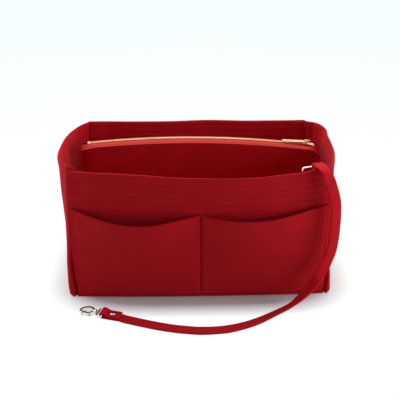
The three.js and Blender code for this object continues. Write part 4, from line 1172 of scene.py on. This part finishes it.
def end_outline(z, side, count):
    """Plan outline of an end panel's outer face at one height, resampled evenly."""
    front, back = turned_corner(FRONT, z, side), turned_corner(BACK, z, side)
    near, far = front[-1][1], back[-1][1]
    middle = []
    for k in range(1, 50):
        y = mix(near, far, (1 - math.cos(k / 50 * math.pi)) / 2)
        middle.append((end_line(y, z, side, near, far), y))
    points = front + middle + back[::-1]
    lengths = [0.0]
    for (ax, ay), (bx, by) in zip(points, points[1:]):
        lengths.append(lengths[-1] + math.hypot(bx - ax, by - ay))
    out, at = [], 0
    for k in range(count + 1):
        want = lengths[-1] * k / count
        while at < len(points) - 2 and lengths[at + 1] < want:
            at += 1
        span = lengths[at + 1] - lengths[at]
        share = (want - lengths[at]) / span if span else 0
        (ax, ay), (bx, by) = points[at], points[at + 1]
        out.append((mix(ax, bx, share), mix(ay, by, share)))
    return out


def end_panel(side, name):
    """An end panel with its two corners and the lips that are sewn behind the walls."""
    columns, length = 400, 200
    outlines = {}

    def place(u, v):
        if v not in outlines:
            outlines[v] = end_outline(HEIGHT * v, side, columns)
        at = u * columns
        low = min(columns - 1, int(at))
        (ax, ay), (bx, by) = outlines[v][low : low + 2]
        x, y = mix(ax, bx, at - low), mix(ay, by, at - low)
        rim = 0.5 * math.sin(y / 13) + hills(y, END_RIM[side])
        drop = corner_drop(min(u, 1 - u) * length, 2.5)
        return (side * x, y, (HEIGHT - drop) * v + rim * v**6)

    def creases(point):
        """The hem's crease, and folds of the felt inside the back right corner."""
        hem = 0.5 * bump(point.z, 141, 1.4)
        folds = hills(point.y, CORNER_FOLDS) * ease(point.z, 60, 120) if side > 0 else 0
        return hem + folds

    panel = felt_sheet(
        f"{name}_end_felt",
        place,
        steps(length, 1, 1, (16, 16), (length - 16, 90), (None, 16)),
        steps(HEIGHT, 4, 7, (110, 40), (None, 36), rounds=12),
        FELT,
        (side, 0, 0),
        (1, (4, 1.6), (3.5, 1.1)),
        (0.8, 0.8, (7, 1.9)),
        back=creases,
    )
    finish_felt(panel, f"{name}_end_panel")


class ORGANIZER_OT_ends(bpy.types.Operator):
    """End panels, turned in behind the front and the back wall"""

    bl_idname = "organizer.ends"
    bl_label = "End panels"

    def execute(self, context):
        end_panel(-1, "left")
        end_panel(1, "right")
        return {"FINISHED"}


def base_layer(name, low, thickness, margin, node):
    """A felt layer of the base, which reaches to the four walls."""
    length = 2 * half_length(FRONT, 0)
    hem = (0.7, 0.7, 0.7)

    def place(u, v):
        t = 2 * u - 1
        side = 1 if t > 0 else -1
        reach = mix(corner_x(FRONT, low, side), corner_x(BACK, low, side), v)
        reach += END_BOW_BASE * crown(2 * v - 1, END_BOW_POWER) - 2 * abs(2 * v - 1) ** 14
        x = t * (reach - FELT - 0.2 - margin)
        lip = FELT + GAP + margin + ease(abs(x), 124.5, 127.5) * (FELT + GAP)
        y = mix(wall_face(FRONT, x, 0, lip), wall_face(BACK, x, 0, lip), v)
        return (x, y, low + thickness)

    across = steps(length, 0.7, 0.7, (16, 14), (length - 16, 50), (None, 14))
    up = steps(BASE_DEPTH, 0.7, 0.7, (None, 24))
    finish_felt(felt_sheet(name, place, across, up, thickness, (0, 0, 1), hem, hem), node)


class ORGANIZER_OT_base(bpy.types.Operator):
    """Outer felt and lining of the base, round the stiffening board"""

    bl_idname = "organizer.base"
    bl_label = "Base"

    def execute(self, context):
        base_layer("base_outer_felt", 0, FELT, 0.2, "base_panel")
        base_layer("base_lining_felt", LINING_LOW, LINING_THICKNESS, 0.6, "base_lining")
        return {"FINISHED"}


class ORGANIZER_OT_pockets(bpy.types.Operator):
    """Front pocket panel, sewn at its sides, its foot and its middle"""

    bl_idname = "organizer.pockets"
    bl_label = "Front pockets"

    def execute(self, context):
        def place(u, v):
            t = 2 * u - 1
            bulge, deep, skew, power = POCKETS[-1 if t < 0 else 1]
            lobe = math.sin(math.pi * abs(t) ** skew)
            scoop = deep * abs(lobe) ** power
            top = POCKET_HEIGHT - scoop - 2 * bump(t, 0, 0.12) + 2.4 * ease(t, 0.5, 1)
            z = mix(POCKET_FOOT_SEAM, top, v)
            x = t * (half_length(FRONT, z) - POCKET_SIDE_MARGIN)
            stand_off = GAP + bulge * lobe * v**0.9
            return (x, wall_face(FRONT, x, z, -stand_off - POCKET_FELT), z)

        def drawn(point):
            half = half_length(FRONT, max(0, point.z)) - POCKET_SIDE_MARGIN
            seam = 1.1 * bump(point.x, 0, 1.2)
            sides = 0.55 * bump(half - abs(point.x), 2.6, 1)
            foot = 0.55 * bump(point.z, POCKET_FOOT_SEAM + 3, 1)
            return seam + sides + foot

        length = RIM_LENGTH_FRONT
        middle = length / 2
        panel = felt_sheet(
            "front_pocket_felt",
            place,
            steps(length, 1, 1, (middle - 6, 70), (middle + 6, 24), (None, 70)),
            steps(POCKET_HEIGHT, 0.9, 1.1, (12, 12), (None, 60)),
            POCKET_FELT,
            (0, -1, 0),
            (1, 0.9, 1.1),
            (0.6, 0.5, 0.8),
            drawn,
        )
        finish_felt(panel, "front_pocket_panel")
        out = Vector((0, -1, 0))

        def column(u):
            return [(Vector(place(u, k / 60)), out) for k in range(1, 60)]

        inside = 2.6 / length
        foot = seam_row(place, 0.029, out, 200, 3, 198)
        sew("pocket_seams", [column(0.5), column(inside), column(1 - inside), foot], 0.45)
        return {"FINISHED"}


def pouch_drop(x):
    """How far the pouch's top edge turns down towards its two ends."""
    start, length, depth = POUCH_DROP[-1 if x < 0 else 1]
    return depth * (1 - math.sqrt(1 - limit((abs(x) - start) / length) ** 2))


def pouch_top(x):
    return on_arc(x, 0, -TAPE_THICKNESS / 2 - GAP)[2] - pouch_drop(x)


def pouch_inner_half(t, v):
    """Half the width inside the pouch, which closes at its ends and at its foot."""
    wide = POUCH_WIDTH / 2 - POUCH_FELT - GAP / 2
    return GAP / 2 + wide * crown(t, POUCH_END_POWER) * v**POUCH_FLARE_POWER


def pouch_spread(t, z):
    """X at a share of the pouch's length, which is longer on the right, at a height."""
    right = POUCH_RIGHT_SPREAD * ease(z, 10, 124) if t > 0 else 0
    return t * (POUCH_HALF_LENGTH + right)


def pouch_wall(side, name):
    """One felt wall of the pouch. Returns the line of its hem's seam."""

    def place(u, v):
        t = 2 * u - 1
        top = pouch_top(pouch_spread(t, HEIGHT)) - TAPE_SLOPE[side]
        z = mix(FLOOR_TOP + GAP, top, v)
        x = pouch_spread(t, z)
        half = pouch_inner_half(t, v) + POUCH_FELT
        ripple = 0.4 * math.sin(x / 19 + side) * v
        return (x, POUCH_Y + side * (half + ripple), z)

    length = 2 * POUCH_HALF_LENGTH
    panel = felt_sheet(
        f"pouch_{name}_felt",
        place,
        steps(length, 1, 1, (20, 20), (length - 30, 90), (None, 30)),
        steps(140, 0.8, 1, (110, 22), (None, 26)),
        POUCH_FELT,
        (0, side, 0),
        (1, 0.8, 1.1),
        (0.6, 0.6, 0.5),
        lambda point: 0.4 * bump(pouch_top(point.x) - point.z, 6, 0.9),
    )
    finish_felt(panel, f"pouch_{name}_panel")
    return seam_row(place, 0.965, Vector((0, side, 0)), 200, 5, 193)


def zip_tape(side, name):
    """One woven tape of the zip. Returns the line of its seam."""

    def place(u, v):
        t = 2 * u - 1
        x = TAPE_HALF * t + (3.4 * v * t**8 if t > 0 else 0)
        outer = pouch_inner_half(x / 141, 1) + POUCH_FELT - 0.3
        y = mix(POUCH_Y + side * TAPE_EDGE, POUCH_Y + side * outer, v)
        drop = pouch_drop(x) * ease(v, 0, 0.8) + TAPE_SLOPE[side] * v**1.6
        x, y, z = on_arc(x, y, TAPE_THICKNESS / 2)
        return (x, y, z - drop)

    tape = felt_sheet(
        f"zip_{name}_tape",
        place,
        steps(2 * TAPE_HALF, 0.3, 0.3, (240, 120), (None, 40)),
        steps(9, 0.2, 0.2, (None, 18)),
        TAPE_THICKNESS,
        (0, 0, 1),
        (0.25, 0.2, 0.2),
        (0.25, 0.2, 0.2),
        lambda point: 0.16 * bump(abs(point.y - POUCH_Y), 9.4, 0.4),
    )
    finish_piece(tape, "box", material("tape"), "zip_tape", f"zip_tape_{name}")
    return seam_row(place, 0.68, Vector((0, 0, 1)), 300, 6, 280)


class ORGANIZER_OT_pouch(bpy.types.Operator):
    """Felt walls of the zipped pouch and the woven tapes of its zip"""

    bl_idname = "organizer.pouch"
    bl_label = "Pouch"

    def execute(self, context):
        sew("pouch_hem_seams", [pouch_wall(-1, "front"), pouch_wall(1, "back")], 0.3)
        sew("tape_seams", [zip_tape(-1, "front"), zip_tape(1, "rear")], 0.1)
        return {"FINISHED"}


def tooth_seed():
    """One tooth of the zip: a block with round edges."""
    deselect_all()
    bpy.ops.mesh.primitive_cube_add(size=1, scale=TOOTH_SIZE)
    bpy.ops.object.transform_apply(location=False, rotation=False, scale=True)
    edit_mesh(
        bpy.context.object,
        lambda: bpy.ops.mesh.bevel(offset=TOOTH_ROUNDING, segments=2, affect="EDGES"),
    )
    return take_seed()


def tooth_row(side, name, seed):
    """One row of teeth, whose tips are narrower than their roots."""
    points, faces = [], []
    x = TEETH_START + (0.25 if side < 0 else 0.75) * TEETH_PITCH
    while x + 0.6 < TEETH_END:

        def move(corner):
            narrow = 1 - 0.16 * (0.5 - side * corner.y / TOOTH_SIZE[1])
            y = POUCH_Y + side * TOOTH_OFFSET + corner.y
            return Vector(on_arc(x + corner.x * narrow, y, corner.z + 0.05)) * MM

        add_copy(points, faces, seed, move)
        x += TEETH_PITCH
    teeth = mesh_piece(f"zip_{name}_teeth", points, faces)
    metal = material("zip_metal")
    finish_piece(teeth, "box", metal, "zip_metal", f"zip_teeth_{name}", smooth=30)


def tape_cord(side, name):
    """The corded edge of a tape, which the teeth are moulded on."""
    rings = []
    for k in range(121):
        x = mix(TEETH_START + 0.3, TEETH_END - 0.3, k / 120)
        ring = []
        for turn in range(10):
            angle = 2 * math.pi * turn / 10
            y = POUCH_Y + side * TAPE_CORD_OFFSET + TAPE_CORD_WIDTH * math.cos(angle)
            ring.append(Vector(on_arc(x, y, TAPE_CORD_HEIGHT * math.sin(angle))))
        rings.append(ring)
    cord = lofted_piece(f"zip_{name}_tape_cord", rings)
    finish_piece(cord, "box", material("tape"), "zip_tape", smooth=60)


class ORGANIZER_OT_zip(bpy.types.Operator):
    """Teeth of the zip and the corded edges of its tapes, the slider, its pull and the stops"""

    bl_idname = "organizer.zip"
    bl_label = "Zip"

    def execute(self, context):
        seed = tooth_seed()
        for side, name in ((-1, "front"), (1, "rear")):
            tooth_row(side, name, seed)
            tape_cord(side, name)
        for node in ("zip_top_stop_front", "zip_top_stop_rear", "zip_bottom_stop"):
            finer_copy(node, "box", "zip_metal", 0.35)
        finer_copy("zip_slider_body", "slider", "zip_metal", 0.22)
        finer_copy("zip_pull", "pull", "zip_metal", 0.2)
        return {"FINISHED"}


def fold_outline(wire, flap, reach):
    """Outline of a strip turned round a bar: x away from the bar's strap, y up over it."""
    inner = wire + GAP
    outer = inner + STRAP_THICKNESS
    outline = [(-FOLD_START, -outer)]
    for k in range(19):
        angle = math.radians(-90 + 10 * k)
        outline.append((outer * math.cos(angle), outer * math.sin(angle)))
    rest = GAP - inner + STRAP_THICKNESS
    for k in range(1, 11):
        outline.append((-reach * (k / 10), mix(outer, rest, ease(k, 0, 10))))
    if flap > reach:
        outline += [(mix(-reach, -flap, k / 8), rest) for k in range(1, 9)]
    return outline


def strap_fold(name, bar, away, across, up, wire, flap, reach, body, node):
    """An end of the strap, turned round a bar and settled onto the strap over its reach."""
    outline = fold_outline(wire, flap, reach)
    count = len(outline) - 1

    def place(u, v):
        x, y = outline[round(u * count)]
        return bar + away * x + up * y + across * mix(-STRAP_WIDTH / 2, STRAP_WIDTH / 2, v)

    def outside(centre):
        way = Vector(centre) - bar
        return way if way.dot(away) > 0 else (0, 0, 0)

    piece = felt_sheet(
        name,
        place,
        [k / count for k in range(count + 1)],
        steps(STRAP_WIDTH, 0.8, 0.8, (None, 8)),
        STRAP_THICKNESS,
        outside,
        (0.6, 0.8, 0.8),
        (0.3, 0.6, 0.6),
    )
    finish_piece(piece, body, material("strap_felt"), "felt", node)


class ORGANIZER_OT_folds(bpy.types.Operator):
    """Ends of the strap, turned round the ring and round the clasp's eye, and the ring's tab"""

    bl_idname = "organizer.folds"
    bl_label = "Strap folds"

    def execute(self, context):
        up = Vector((0, 0, 1))
        ring_end = ("ring_end_fold_felt", RING_BAR, -RING_ALONG, RING_ACROSS, -up)
        strap_fold(*ring_end, RING_WIRE, 5.6, 5.6, "ring", "leash_ring_end_fold")
        clasp_end = ("clasp_end_fold_felt", CLASP_BAR, -CLASP_ALONG, CLASP_ACROSS, up)
        strap_fold(*clasp_end, EYE_WIRE, 19, 7, "box", "leash_clasp_end_fold")
        finer_copy("ring_tab", "box", "felt", 0.45, 1)
        return {"FINISHED"}


class ORGANIZER_OT_metal(bpy.types.Operator):
    """Ring, rivet, eye, hook and gate of the leash"""

    bl_idname = "organizer.metal"
    bl_label = "Leash metal"

    def execute(self, context):
        finer_copy("leash_ring", "ring", "nickel", 0, 2)
        finer_copy("leash_rivet", "box", "nickel", 0.2)
        finer_copy("clasp_eye", "eye", "nickel", 0, 1)
        finer_copy("clasp_hook", "hook", "nickel", 0.5)
        finer_copy("clasp_gate", "gate", "nickel", 0.3)
        return {"FINISHED"}


class ORGANIZER_OT_finishes(bpy.types.Operator):
    """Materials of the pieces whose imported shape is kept"""

    bl_idname = "organizer.finishes"
    bl_label = "Finishes"

    def execute(self, context):
        kept = {"clasp_gate_pin": "nickel", "clasp_gate_spring": "steel", "base_board": "board"}
        for name, kind in kept.items():
            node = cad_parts[name]
            node.data.materials.clear()
            node.data.materials.append(material(kind))
        return {"FINISHED"}


class ORGANIZER_PT_panel(bpy.types.Panel):
    """Lists the organizer's pieces and sizes in the sidebar"""

    bl_idname = "ORGANIZER_PT_panel"
    bl_label = "Felt organizer"
    bl_space_type = "VIEW_3D"
    bl_region_type = "UI"
    bl_category = "Organizer"

    def draw(self, context):
        for operator in OPERATORS:
            self.layout.operator(operator.bl_idname)
        for name in OrganizerShape.__annotations__:
            self.layout.prop(context.scene.organizer_shape, name)
        for name in OrganizerColours.__annotations__:
            self.layout.prop(context.scene.organizer_colours, name)


OPERATORS = (
    ORGANIZER_OT_stage,
    ORGANIZER_OT_folds,
    ORGANIZER_OT_metal,
    ORGANIZER_OT_strap,
    ORGANIZER_OT_walls,
    ORGANIZER_OT_ends,
    ORGANIZER_OT_base,
    ORGANIZER_OT_pockets,
    ORGANIZER_OT_pouch,
    ORGANIZER_OT_zip,
    ORGANIZER_OT_finishes,
)
CLASSES = (OrganizerShape, OrganizerColours, *OPERATORS, ORGANIZER_PT_panel)


def register():
    for item in CLASSES:
        bpy.utils.register_class(item)
    bpy.types.Scene.organizer_shape = PointerProperty(type=OrganizerShape)
    bpy.types.Scene.organizer_colours = PointerProperty(type=OrganizerColours)


def unregister():
    del bpy.types.Scene.organizer_shape
    del bpy.types.Scene.organizer_colours
    for item in reversed(CLASSES):
        bpy.utils.unregister_class(item)


def main():
    register()
    for operator in OPERATORS:
        _, name = operator.bl_idname.split(".")
        getattr(bpy.ops.organizer, name)()


if __name__ == "__main__":
    main()
